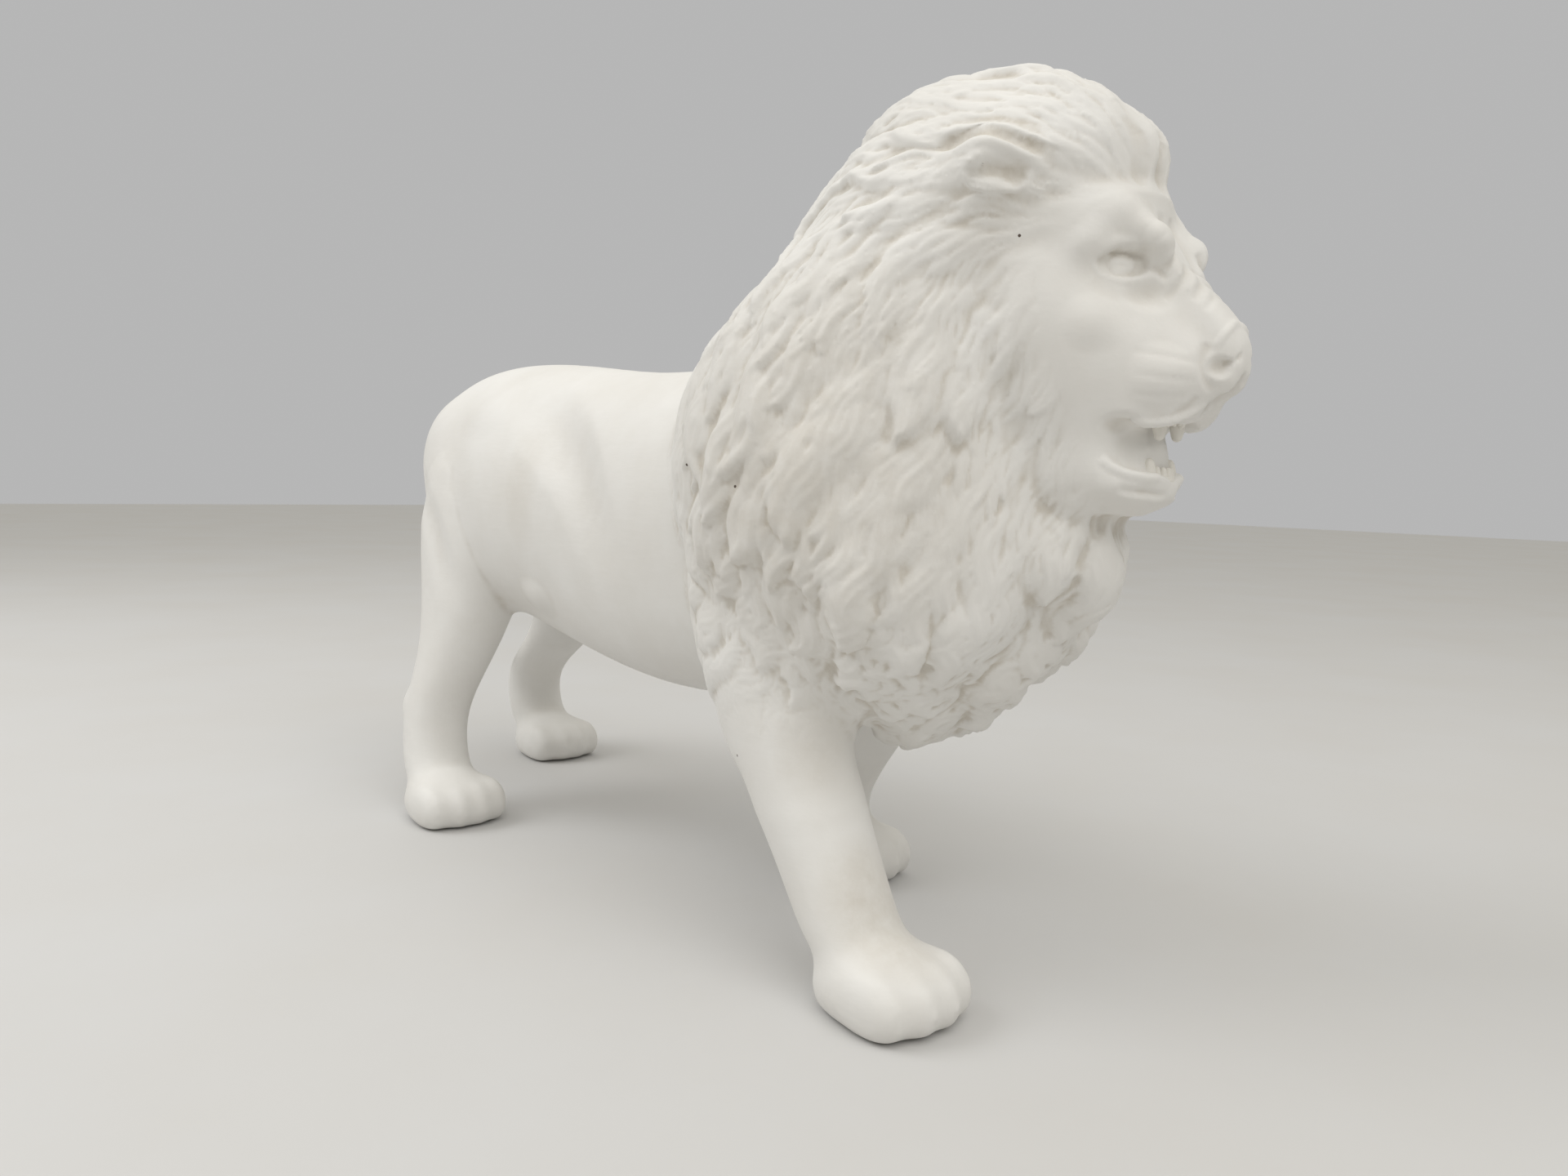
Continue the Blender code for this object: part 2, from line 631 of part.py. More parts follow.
def tail_form(grow=0.0):
    """The tail, a tapering tube that ends in a tuft."""
    curve = bpy.data.curves.new("tail", "CURVE")
    curve.dimensions = "3D"
    curve.bevel_depth = TAIL_RADIUS + grow
    curve.bevel_resolution = 1
    curve.resolution_u = TAIL_STEPS
    curve.use_fill_caps = True
    line = curve.splines.new("BEZIER")
    line.bezier_points.add(len(TAIL_POINT_SHARES) - 1)
    for point, (reach, side, drop, thickness) in zip(line.bezier_points, TAIL_POINT_SHARES):
        x = TRUNK_REAR_X - TAIL_REACH * reach
        point.co = Vector((x, TAIL_SIDE * side, TAIL_ROOT_Z - TAIL_DROP * drop))
        point.radius = thickness
        point.handle_left_type = "AUTO"
        point.handle_right_type = "AUTO"
    holder = bpy.data.objects.new("tail_curve", curve)
    WORKSHOP.cutters.objects.link(holder)
    depsgraph = bpy.context.evaluated_depsgraph_get()
    mesh = bpy.data.meshes.new_from_object(holder.evaluated_get(depsgraph))
    bpy.data.objects.remove(holder, do_unlink=True)
    shape = bmesh.new()
    shape.from_mesh(mesh)
    bmesh.ops.remove_doubles(shape, verts=shape.verts[:], dist=MERGE_DISTANCE)
    return object_from_bmesh(shape, "tail_form")


def tail_plug(grow=0.0):
    """The round plug of the tail in the rump."""
    first = TAIL_POINT_SHARES[0][0]
    start = Vector((TRUNK_REAR_X - TAIL_REACH * first, 0, TAIL_ROOT_Z))
    reach = Vector((TAIL_PLUG_DEPTH + grow, 0, 0))
    return rod("tail_plug", start - Vector((TAIL_RADIUS, 0, 0)), start + reach, TAIL_RADIUS / 2 + grow)


def halve(thing, side):
    """Keep one side of the middle plane, half a glue gap away from it."""
    reach = TRUNK_LENGTH + MANE_HEIGHT
    near = side * GLUE_GAP / 2
    low = Vector((-reach, min(near, -side * reach), -reach))
    high = Vector((reach, max(near, -side * reach), reach))
    return cut(thing, box("other_side", low, high))


def post_places():
    """Where the pin posts stand in the trunk, on its axis."""
    for share in TRUNK_POST_SHARES:
        row = share_row(TRUNK_RING_SHARES, share)
        yield trunk_axis(share, row[1]), TRUNK_HALF_WIDTH * row[2]


def add_post(half, place, reach, side):
    """A post from the side wall to the middle plane, with its pin or its socket."""
    near = place + Vector((0, side * GLUE_GAP / 2, 0))
    far = place + Vector((0, side * (reach * POST_REACH_SHARE - WALL / 2), 0))
    join(half, rod("post", near, far, POST_RADIUS))
    if side > 0:
        tip = near - Vector((0, PIN_LENGTH, 0))
        return join(half, rod("pin", far, tip, PIN_RADIUS))
    depth = Vector((0, PIN_LENGTH + GLUE_GAP, 0))
    return cut(half, rod("socket", place + depth, place - depth, PIN_RADIUS + GLUE_GAP))


def bore_for_legs(half, side, hips):
    """Bore a half shell for the spigots of the legs on its side."""
    for hip in hips:
        if hip[1] * side > 0:
            cut(half, leg_spigot(hip, GLUE_GAP))
    return half


def make_trunk_half(side, hips):
    """One half shell of the trunk, with its posts and its bores."""
    half = halve(cut(trunk_form(), trunk_form(-WALL)), side)
    cut(half, neck_plug(GLUE_GAP), tail_plug(GLUE_GAP))
    for place, reach in post_places():
        add_post(half, place, reach, side)
    return bore_for_legs(half, side, hips)


def ear(side):
    """One ear with its hollow."""
    centre = Vector((NECK_X + EAR_AHEAD, side * EAR_ASIDE, HEAD_Z + EAR_RISE))
    radii = Vector((EAR_THICKNESS, EAR_WIDTH, EAR_HEIGHT))
    shell = ball("ear", centre, radii)
    front = centre + Vector((EAR_THICKNESS, side * EAR_WIDTH * EAR_HOLLOW_SHARE / 2, 0))
    return cut(shell, ball("ear_hollow", front, radii * EAR_HOLLOW_SHARE))


def make_mane_half(side, hips):
    """One half shell of the mane, with its ear, its post and its openings."""
    half = join(mane_form(), ear(side))
    half = halve(cut(half, mane_form(-WALL, 0.0, MANE_INNER_POINTS)), side)
    row = share_row(MANE_RING_SHARES, MANE_POST_HEIGHT_SHARE)
    add_post(half, mane_axis(row[0], row[1]), MANE_HALF_WIDTH * row[2], side)
    cut(half, trunk_form(GLUE_GAP), head_form(GLUE_GAP), jaw_form(GLUE_GAP))
    return bore_for_legs(half, side, hips)


def make_head():
    """The head shell with its eyes, nostrils, mouth pocket and neck plug."""
    head = head_form()
    for side in (-1, 1):
        cut(head, face_ball("socket", SOCKET_SHARES, side))
        join(head, face_ball("eye", EYE_SHARES, side))
        cut(head, face_ball("nostril", NOSTRIL_SHARES, side))
    cut(head, gum_plate(UPPER_GUM_ALONG, UPPER_GUM_Z, GLUE_GAP))
    return join(head, neck_plug())


def make_jaw():
    """The lower jaw, cut to lie against the head."""
    jaw = cut(jaw_form(), head_form(GLUE_GAP))
    return cut(jaw, gum_plate(LOWER_GUM_ALONG, LOWER_GUM_Z, GLUE_GAP))


def make_tail():
    """The tail with its plug, cut to lie against the rump."""
    return join(cut(tail_form(), trunk_form(GLUE_GAP)), tail_plug())


def finish(thing, name, paint):
    """Name the finished part, give it its paint and move it to the parts."""
    thing.name = name
    thing.data.name = name
    thing.hide_render = False
    thing.display_type = "TEXTURED"
    WORKSHOP.cutters.objects.unlink(thing)
    WORKSHOP.parts.objects.link(thing)
    colour, roughness, metallic = PAINTS[paint]
    material = bpy.data.materials.new(f"{name}_{paint}")
    material.use_nodes = True
    shader = material.node_tree.nodes["Principled BSDF"]
    shader.inputs["Base Color"].default_value = colour
    shader.inputs["Roughness"].default_value = roughness
    shader.inputs["Metallic"].default_value = metallic
    material.diffuse_color = colour
    thing.data.materials.clear()
    thing.data.materials.append(material)
    thing.data.shade_smooth()
    thing.data.set_sharp_from_angle(angle=SHARP_ANGLE)


def centre_on_base():
    """Move the figure so that the origin is the middle of its box, on the ground."""
    corners = [vertex.co for part in WORKSHOP.parts.objects for vertex in part.data.vertices]
    shift = Vector((0, 0, 0))
    for axis in (0, 1):
        values = [corner[axis] for corner in corners]
        shift[axis] = -(min(values) + max(values)) / 2
    for part in WORKSHOP.parts.objects:
        part.data.transform(Matrix.Translation(shift))
    return shift


def build():
    """Make every part of the figure."""
    front_right_hip = (FRONT_HIP_X, -FRONT_HIP_Y)
    front_left_hip = (FRONT_HIP_X, FRONT_HIP_Y)
    rear_right_hip = (REAR_HIP_X, -REAR_HIP_Y)
    rear_left_hip = (REAR_HIP_X, REAR_HIP_Y)
    legs = {
        "front_right_leg": (front_right_hip, FRONT_RIGHT_STEP, 0.0, FRONT_LEG_SHARES),
        "front_left_leg": (front_left_hip, FRONT_LEFT_STEP, 0.0, FRONT_LEG_SHARES),
        "rear_right_leg": (rear_right_hip, REAR_RIGHT_STEP, REAR_RIGHT_HOCK_BACK, REAR_LEG_SHARES),
        "rear_left_leg": (rear_left_hip, REAR_LEFT_STEP, REAR_LEFT_HOCK_BACK, REAR_LEG_SHARES),
    }
    hips = [leg[0] for leg in legs.values()]
    for side, word in ((1, "left"), (-1, "right")):
        finish(make_trunk_half(side, hips), f"trunk_{word}_shell", "paint")
        finish(make_mane_half(side, hips), f"mane_{word}_shell", "paint")
    finish(make_head(), "head_shell", "paint")
    finish(make_jaw(), "lower_jaw", "paint")
    finish(make_teeth(UPPER_GUM_ALONG, UPPER_GUM_Z, -1), "upper_teeth", "tooth")
    finish(make_teeth(LOWER_GUM_ALONG, LOWER_GUM_Z, 1), "lower_teeth", "tooth")
    for name, leg in legs.items():
        finish(make_leg(*leg), name, "paint")
    finish(make_tail(), "tail", "paint")
    return centre_on_base()


SHIFT = build()
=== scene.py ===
"""Looks of the standing lion figure: one skin modelled over the fixed frame, then painted.

The skin starts from the frame's own solids.  It is remeshed, its face and muscles are
modelled with strokes, its mane is combed lock by lock, and it is then divided again
into one closed piece for each solid that it stands for.
"""

import math
from contextlib import contextmanager
from itertools import product
from typing import NamedTuple

import bmesh
import bpy
import numpy as np
from bpy.props import FloatProperty, FloatVectorProperty, IntProperty, PointerProperty
from mathutils import Matrix, Vector
from mathutils.bvhtree import BVHTree
from mathutils.kdtree import KDTree


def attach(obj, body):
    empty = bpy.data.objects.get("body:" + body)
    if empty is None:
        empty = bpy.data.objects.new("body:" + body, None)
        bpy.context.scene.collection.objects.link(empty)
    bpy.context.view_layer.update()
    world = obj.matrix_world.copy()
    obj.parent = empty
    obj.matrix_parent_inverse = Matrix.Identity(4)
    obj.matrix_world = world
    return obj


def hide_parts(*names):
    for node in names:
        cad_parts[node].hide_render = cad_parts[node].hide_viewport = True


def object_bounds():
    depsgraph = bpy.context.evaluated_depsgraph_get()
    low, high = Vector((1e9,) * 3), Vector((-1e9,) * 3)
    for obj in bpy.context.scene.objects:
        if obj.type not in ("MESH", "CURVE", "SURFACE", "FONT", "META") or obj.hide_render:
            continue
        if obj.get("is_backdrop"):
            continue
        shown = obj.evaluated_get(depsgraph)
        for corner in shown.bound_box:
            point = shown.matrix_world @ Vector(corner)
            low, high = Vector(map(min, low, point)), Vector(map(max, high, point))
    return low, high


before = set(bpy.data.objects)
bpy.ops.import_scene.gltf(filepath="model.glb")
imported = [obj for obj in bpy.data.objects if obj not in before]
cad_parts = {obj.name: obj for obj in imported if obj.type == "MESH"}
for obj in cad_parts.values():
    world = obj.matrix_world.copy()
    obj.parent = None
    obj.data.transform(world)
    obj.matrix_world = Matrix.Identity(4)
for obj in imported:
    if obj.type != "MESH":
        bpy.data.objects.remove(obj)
CAD_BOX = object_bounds()

bl_info = {
    "name": "Standing lion figure",
    "version": (1, 0, 0),
    "blender": (4, 5, 0),
    "location": "3D View > Sidebar > Lion",
    "description": "Models and paints the skin of a standing toy lion over its solids",
    "category": "Add Mesh",
}

MM = 0.001
# How far a round of smoothing goes in and back out
SMOOTHING_SHARES = (0.5, -0.515)
# Rounds that ease the points of a line once they lie on the skin
LINE_EASING = 6
UP = np.array((0.0, 0.0, 1.0))
SKIN_NAME = "lion_skin"
BOX_MARGIN = 0.05 * MM
TRUNK_NODES = ("trunk_left_shell", "trunk_right_shell")
MANE_NODES = ("mane_left_shell", "mane_right_shell")
FRONT_LEGS = ("front_right_leg", "front_left_leg")
REAR_LEGS = ("rear_right_leg", "rear_left_leg")
SKIN_NODES = (
    *TRUNK_NODES, *MANE_NODES, "head_shell", "lower_jaw", *FRONT_LEGS, *REAR_LEGS, "tail",
)


class Part:
    """A part of the animal that has its own axes: forward, to its right and up."""

    def __init__(self, origin, forward, right):
        self.origin = np.array(origin) * MM
        self.axes = np.array((forward, right, UP))

    def point(self, forward, right, height):
        """A point of the part, in millimetres along its own axes."""
        along = self.axes[0] * forward + self.axes[1] * right + self.axes[2] * height
        return self.origin + along * MM


# The head is turned to its left, about a point in the neck
HEAD_TURN = math.radians(10)
HEAD = Part(
    (100.918, 0.5, 0.0),
    (math.cos(HEAD_TURN), math.sin(HEAD_TURN), 0.0),
    (math.sin(HEAD_TURN), -math.cos(HEAD_TURN), 0.0),
)
BODY = Part((0, 0, 0), (1.0, 0, 0), (0, -1.0, 0))

# Rings laid for each section of the head, and points for each of a section's own
RINGS_PER_SECTION, POINTS_PER_POINT = 4, 3
# The face from its top down to the lip: forward, then right and height of each point
FACE_SECTIONS = (
    (14, 0, 164, 9, 163, 15.5, 158.5, 19.8, 150.5, 22.5, 142, 23.5, 132, 22.5, 123, 20, 116, 16,
     111),
    (22, 0, 163, 8.5, 162.5, 14.5, 158.5, 18, 150.8, 20.8, 142.5, 22.3, 133.5, 21.4, 124.5, 19, 118,
     16, 113.5),
    (28, 0, 161.5, 8, 162, 14.2, 158.5, 15.8, 149.8, 18, 142.5, 20, 134, 19.4, 126.5, 17.4, 120.5,
     15.2, 116),
    (31.5, 0, 159.5, 7.5, 160.3, 13.4, 157, 14.2, 148.8, 16.4, 142, 18.6, 134, 18.2, 127, 16.4,
     121.5, 14.6, 117),
    (34.5, 0, 157.2, 7, 158.8, 12.8, 156, 12.2, 148, 14.6, 141.6, 17, 134, 16.9, 127.5, 15.4, 121.5,
     13.6, 117),
    (37.5, 0, 154, 6.5, 156, 12, 154.2, 9.8, 147.2, 12.2, 141, 15.4, 134, 15.8, 127.5, 14.6, 121.5,
     12.6, 116.8),
    (40, 0, 150.4, 6, 152.6, 11, 151.8, 8.6, 146, 10.2, 140.6, 13.8, 133.8, 14.6, 127.5, 13.4,
     121.5, 10.6, 117),
    (42, 0, 147, 5, 148.4, 9, 148.8, 7.4, 144.6, 8.8, 139.8, 12.2, 133.4, 13.4, 127.2, 12, 121.4,
     8.8, 117.2),
    (44.5, 0, 144.6, 3.8, 144.4, 6.2, 142.8, 7, 140, 8, 136.6, 10.6, 132.2, 11.8, 127, 10.2, 121.6,
     6, 117.8),
    (47.5, 0, 141.8, 3.8, 141.4, 5.8, 139.6, 6.4, 136.8, 7, 133.8, 8.8, 130.6, 9.6, 126.8, 7.6, 123,
     3.6, 120.6),
    (50, 0, 139, 3.8, 138.5, 5.6, 136.8, 6.2, 134.2, 6.2, 131.4, 6.6, 128.8, 6.6, 126.4, 5, 124.2,
     2.4, 122.8),
    (52.2, 0, 136.2, 3.4, 135.7, 5, 134, 5.6, 131.8, 5.3, 129.4, 5.2, 127.4, 4.8, 125.8, 3.8, 124.8,
     2, 124),
    (53.9, 0, 133, 1.8, 132.6, 2.9, 131.6, 3.2, 130.4, 3.1, 129.2, 2.7, 128.2, 2.2, 127.4, 1.5,
     126.8, 0.7, 126.4),
)
# The roof of the mouth, from the lip edge inwards: share of the lip's offset and rise
MOUTH_ROOF = ((0.72, 2.0), (0.0, 4.5))
# The lower jaw from the floor of the mouth over its rim to the chin, in the same way
JAW_SECTIONS = (
    (14, 0, 112, 8, 112, 14.5, 114, 16.5, 110, 15, 104, 8, 99.5, 0, 98.5),
    (24, 0, 110.5, 8, 110.8, 14, 115.2, 16.6, 111, 15.4, 105.4, 8.6, 100.6, 0, 99.6),
    (29, 0, 109.5, 7.8, 109.8, 13.6, 114, 15.6, 111, 14.4, 105.2, 8, 100.6, 0, 99.8),
    (33, 0, 108.4, 7.2, 108.6, 12.6, 112.2, 14.6, 109.6, 13.4, 104.6, 7.6, 101, 0, 100.4),
    (36.5, 0, 107.8, 6.4, 108, 10.8, 110.4, 12.9, 107.8, 11.6, 103.8, 6.6, 101.8, 0, 101.4),
    (39, 0, 108, 5, 108.2, 8.2, 110, 10, 107.4, 9, 104.2, 5.2, 102.8, 0, 102.4),
    (41, 0, 108.6, 2.8, 108.8, 4.8, 109.4, 6, 107.2, 5.2, 105, 2.8, 104, 0, 103.8),
    (41.9, 0, 108.2, 1.4, 108.2, 2.4, 108.4, 3, 107, 2.4, 105.7, 1.2, 105.2, 0, 105),
)
# Clay lumps of the head: forward, right, height, then the radii along the same axes
HEAD_LUMPS = (
    (31.6, 10.2, 146.6, 4.6, 4.2, 4),
    (26.5, 0, 113.8, 13, 13.4, 6.8),
    (28.5, 12, 114.5, 5.4, 2.8, 5.4),
    (33.6, 0, 112.6, 6.2, 9.6, 5.6),
    (41.5, 0, 122.2, 6, 7, 4),
    (21, 0, 93, 12.5, 14, 13),
    (33, 0, 168, 6.4, 9.5, 9),
    (30.5, 0, 158, 7.6, 10.5, 7),
    (26.5, 11, 157.5, 10, 7.4, 8),
)
HEAD_SET_BACK = 7.0 * MM
# Clay lumps of the body, in the same way
BODY_LUMPS = (
    (-90, -18, 108, 21, 13, 23),
    (-92, 18, 108, 21, 13, 23),
    (-104, 0, 109, 15, 17, 24),
    (56, 26, 108, 18, 10, 24),
    (56, -26, 108, 18, 10, 24),
)
# Strokes on the head: forward, right, height, radii along the same axes, height, power
HEAD_STROKES = (
    # the heavy brow and the knob at its front end
    (34.5, 12, 153.6, 11, 9, 7, 1.1, 1.8),
    (40.5, 9, 150.6, 4.2, 4.6, 4.4, 1.4, 1.5),
    # the temple behind the eye and the hollow before the cheek bone
    (25, 19, 151, 7, 6, 6, -0.3, 2),
    (40, 11, 141, 6.5, 5, 4, -1.1, 2),
    # the eye: its bowl, the eyeball, the iris and the pupil
    (34.5, 12, 146.6, 5.4, 5, 2.9, -1.7, 0.9),
    (36, 12, 148.4, 4.8, 4, 1.7, -0.8, 1),
    (34.5, 12, 146.3, 4.4, 5, 2.4, 0.9, 1),
    (34.3, 12, 146.6, 1.9, 4, 1.9, 0.4, 0.35),
    (34.3, 12, 146.6, 0.7, 4, 0.7, -0.2, 0.8),
    # the cheek and the pad of the whiskers
    (32, 17, 136, 8, 5, 6, 0.9, 2),
    (42.5, 11.5, 126.5, 7.5, 5, 6.5, 1.1, 1.5),
    # the nostril, dug towards the back
    (50.5, 4.8, 128.2, 2.6, 2.4, 2.2, -1.2, 1),
    # the corner of the mouth
    (36.4, 13.2, 117, 4.6, 4, 2.8, -1.3, 1.8),
    # the forelock
    (36.5, 4.4, 168, 7, 4.6, 7.5, 0.9, 1.6),
)
# Lines on the head: half width, height, then forward, right and height of each point
HEAD_LINES = (
    # the lids and the tear duct
    (2.2, 0.35, 29.8, 14.6, 147.8, 31.6, 13.8, 149.6, 34.4, 12.2, 149.9, 37.4, 10.2, 148.6, 40, 8,
     146),
    (1.5, 0.35, 29.4, 14.8, 147.2, 31.6, 13.8, 144.8, 34.8, 12, 143.5, 37.8, 10, 143.8, 40, 8, 145),
    (2.6, -0.3, 30, 15.6, 143, 33.8, 13.6, 140.6, 38.4, 10.6, 140.6, 41, 8, 143),
    (1.3, -0.45, 38.4, 9, 146.2, 40, 7.8, 145, 41.4, 7.2, 143.6),
    # the fold from the brow down to the corner of the eye
    (1.4, -0.8, 41.8, 6.2, 150.6, 41.6, 6.6, 148, 40.6, 7.2, 145.6),
    # wrinkles over the bridge of the nose
    (1.3, -0.55, 42.4, 0.4, 147.2, 43, 3.4, 146, 43.2, 6.4, 143.2, 42, 8.8, 140.4),
    (1.2, 0.35, 44, 0.4, 145.6, 44.6, 3.4, 144.4, 44.6, 6.4, 141.4),
    (1.2, -0.5, 45.4, 0.4, 144, 46, 3.4, 142.8, 46, 6.4, 139.8),
    (1.1, -0.35, 47.8, 0.4, 141.8, 48.2, 3.4, 140.6, 48, 6, 137.8),
    # the frown between the brows
    (2.2, -0.5, 39, 2.6, 157, 41, 2.8, 152, 43.2, 3.2, 146.6),
    # the edge of the nose pad, its wing and the slit of the nostril
    (1.1, 0.5, 52, 0, 136.4, 51.6, 3.2, 135.6, 50.8, 5.4, 133.4, 50, 6.2, 131),
    (1.6, -0.6, 48.8, 6.7, 132.4, 47.9, 7.3, 128.8, 48.9, 6.8, 125.6, 50.6, 4.8, 124),
    (0.9, -0.6, 51, 5, 128.6, 52.6, 3.6, 129.4, 53.4, 2.4, 130.6),
    # the parting under the nose
    (1, -1, 53.4, 0, 127.8, 51.8, 0, 124.4, 49, 0, 121.6, 46.4, 0, 119.4),
    # the rim of the upper lip, its lobes, and the rim of the lower lip
    (1.4, 0.8, 48.8, 3.4, 121.2, 46.2, 7.2, 118.9, 42.2, 10.4, 117.6, 37.8, 12.8, 117.8),
    (1.3, -0.45, 48.6, 7.4, 122.6, 47.2, 7.8, 120.6, 45.6, 8, 118.6),
    (1.1, -0.25, 46.6, 8.6, 121.6, 45.6, 9, 119.8, 44.2, 9.2, 118.2),
    (1.4, 1, 41.6, 1.6, 108, 39.6, 8.2, 108.4, 36.6, 11.6, 109.4, 33, 13.6, 111.8),
    # the crease under the lower lip
    (1.5, -0.8, 41.4, 2, 105.4, 39.8, 8.2, 105.6, 36.2, 12.6, 106),
    # whisker lines
    (1, -0.2, 48, 7.6, 128.4, 44, 11, 129.4, 38.5, 14.6, 130.6),
    (0.9, -0.16, 47.8, 8.2, 125.6, 44, 11.8, 126, 38.5, 15, 126.6),
    (0.9, -0.14, 47, 8.6, 123, 43.4, 11.8, 122.8, 38.5, 14.6, 123.2),
    # grooves of the forelock
    (2.6, -0.9, 39.5, 0, 160.5, 39.5, 0, 165, 37.5, 0, 170.5, 32, 0, 176.5),
    (2, -0.6, 36, 6.8, 161.5, 36.2, 7.2, 165, 34, 7.6, 170, 28, 8, 175),
)
# The ears, which the combed hair leaves free: forward, right, height and radii
EAR_SPOTS = (
    (16, 26.5, 165, 11, 8, 7),
)
# Lines on the ears
EAR_LINES = (
    (3, -1.7, 12, 29.6, 161, 16.4, 26.8, 162.6, 20.6, 23.6, 161),
    (2.1, 0.9, 8.3, 27.4, 166.2, 16.3, 26.9, 166.8, 23.5, 21.5, 163.8),
    (1.7, -0.8, 6, 26.6, 168.6, 15.6, 26.6, 169, 24.8, 20.6, 164.6),
    (2, 0.8, 4.2, 25.6, 170.3, 14.9, 26.2, 171, 26.1, 19.8, 166),
    (1.7, -0.6, 3, 24.6, 172.6, 14, 25, 173.4, 24, 20.6, 169),
    (2, 0.6, 10.4, 28.7, 157.8, 17.5, 25.8, 158.6, 24, 20.1, 159.3),
)
# Strokes on the body: forward, right, height, radii and height
BODY_STROKES = (
    # the thigh and the rump above it
    (-50, 30, 96, 36, 18, 38, 2.6),
    (-56, -30, 96, 36, 18, 38, 2.6),
    (-62, 24, 124, 18, 14, 10, 0.8),
    (-66, -24, 124, 18, 14, 10, 0.8),
    # the web between the belly and the thigh
    (-35, 25, 71, 9, 10, 7, 1.2),
    (-40, -25, 71, 9, 10, 7, 1.2),
    # the ribs behind the mane
    (30, 31, 102, 18, 14, 24, 0.7),
    (30, -31, 102, 18, 14, 24, 0.7),
    # the elbow of each front leg and the hock of the right rear leg
    (58, 36, 44, 9, 12, 14, 1),
    (34, -34, 44, 9, 12, 14, 0.8),
    (-96, 36, 33, 10, 14, 8, 1.6),
)
# Valleys on the body: half width, height, then forward, right and height of each point
BODY_LINES = (
    (13, -2.6, -46, 19, 131, -32.6, 24.9, 122, -11, 27.5, 108.6, 3.3, 30.1, 92.1, 11, 29.6, 78),
    (8, -1.3, -106, 27, 108, -101.5, 28.7, 102.5, -84, 34.8, 90.3, -74.9, 34.4, 75.8, -68, 32, 62),
)
# How many rounds of melting each solid's skin takes to lose its flat facets
MELTING_ROUNDS = {
    **dict.fromkeys(TRUNK_NODES, 80), **dict.fromkeys(MANE_NODES, 40),
    **dict.fromkeys((*FRONT_LEGS, *REAR_LEGS), 8), "tail": 16,
}
# Places where the skin melts further: forward, right, height, radii, rounds of melting
MELTED_SPOTS = (
    (114, 21, 164, 13, 13, 12, 130),
    (121, -18, 164, 13, 13, 12, 130),
    (76, 28, 64, 30, 22, 30, 150),
    (62, -28, 64, 30, 22, 30, 150),
    (108, 26, 8, 26, 24, 18, 24),
    (40, -28, 8, 26, 24, 18, 24),
    (-68, 34, 8, 26, 24, 18, 24),
    (-122, -34, 8, 26, 24, 18, 24),
)
# How far the edge between the face and the mane melts, in rounds and in millimetres
FACE_EDGE_ROUNDS = 90
FACE_EDGE_WIDTH = 6.5

# Where the hair of the head begins: height, then forward
HAIR_EDGE = (
    (92, 60), (98, 44), (101, 33), (106, 30), (116, 28), (131, 24.5), (147, 21.5),
    (153, 23.5), (157, 28), (160, 34), (163, 42), (176, 48),
)
# What lies this far back or this low isn't on the head, and counts as far behind its face
HEAD_BACK, HEAD_BOTTOM, FAR_BEHIND = 2, 90, 99.0
# The hair's share at the edge of the face, the way over which it fills, and its power
EDGE_HAIR, EDGE_HAIR_REACH, EDGE_HAIR_POWER = 0.35, 9, 1.3
EAR_BARENESS = 0.85
# The mane's hair fades out down the front legs: where it ends, over what height, its strength
LEG_HAIR_END, LEG_HAIR_SPAN, LEG_HAIR_SHARE = 50 * MM, 24 * MM, 0.75
BORDER_EASING = 14
# The middle of the face, and the radii of the face round it
FACE_SPOT = (30, 0, 138, 34, 30, 40)
FACE_MIDDLE = HEAD.point(*FACE_SPOT[:3])
# The mane meets the body behind this place
BARE_BODY_END = 75 * MM
LEAST_HAIR, BARE, MOSTLY_HAIR = 0.02, 0.05, 0.5
LEAST_REAR_HEIGHT, REAR_POWER = 0.15, 0.8
# The hair that rises past this distance from the top of the box is squashed
CROWN_KNEE = 6.0 * MM
# In millimetres: where the crown begins and over what height it does, how far from the
# face its locks lie round it, and how far away they are pushed outwards
CROWN_START, CROWN_SPAN, CLOSE_TO_FACE, OUTWARD_REACH = 135, 28, 36.0, 37.0
# How steeply the hair falls: from what height, over what way, and the least and the most
FALL_TOP, FALL_WAY, LEAST_FALL, MOST_FALL = 180, -34, 0.3, 1.15
# How steeply it goes back: its share, what each share of falling takes, and the least
BACK_SHARE, BACK_LOSS, LEAST_BACK = 1.15, 0.45, 0.35
# How far the hair is pushed out from the face, low down and more on the crown
OUTWARD_LOW, OUTWARD_MORE, OUTWARD_START, OUTWARD_SPAN = 0.7, 1.9, 140, 18
# The height under which locks curl fully is this far below the height where it begins
CURL_SPAN = -40
HAIR_CELL = 4 * MM
# A lock's width: at the root, how fast it grows, how fast it shrinks at the tip, where the
# tip ends, the power of its taper, and the least width
ROOT_WIDTH, WIDENING, NARROWING, TIP_END, TIP_POWER = 0.35, 2.6, 4.2, 1.02, 0.6
NARROWEST_LOCK = 0.15 * MM
# A lock's height at the root, how fast it rises to its full height, and how far it may lean
ROOT_HEIGHT, RISING, MOST_LEANING = 0.25, 1.5, 0.6
# Patches of crisp and of filled hair: their size in millimetres, how far they sway, and the
# crispness between them, how much it changes and its least
PATCH_LENGTH, PATCH_HEIGHT, PATCH_SWAY = 12, 17, 1.7
CRISPNESS, CRISPNESS_CHANGE, LEAST_CRISPNESS = 0.75, 0.45, 0.3
# Strands: how many on each side of a lock, least width of their lock, shift from lock to lock
STRANDS_PER_SIDE, LEAST_STRAND_BED, STRAND_SHIFT = 1.6, 0.4 * MM, 0.37
# How near the face, or how high on the crown, the thin strands of the fringe begin
FRINGE_CLOSENESS, FRINGE_CROWN = 0.35, 0.3
FRINGE_TRIES = 60000
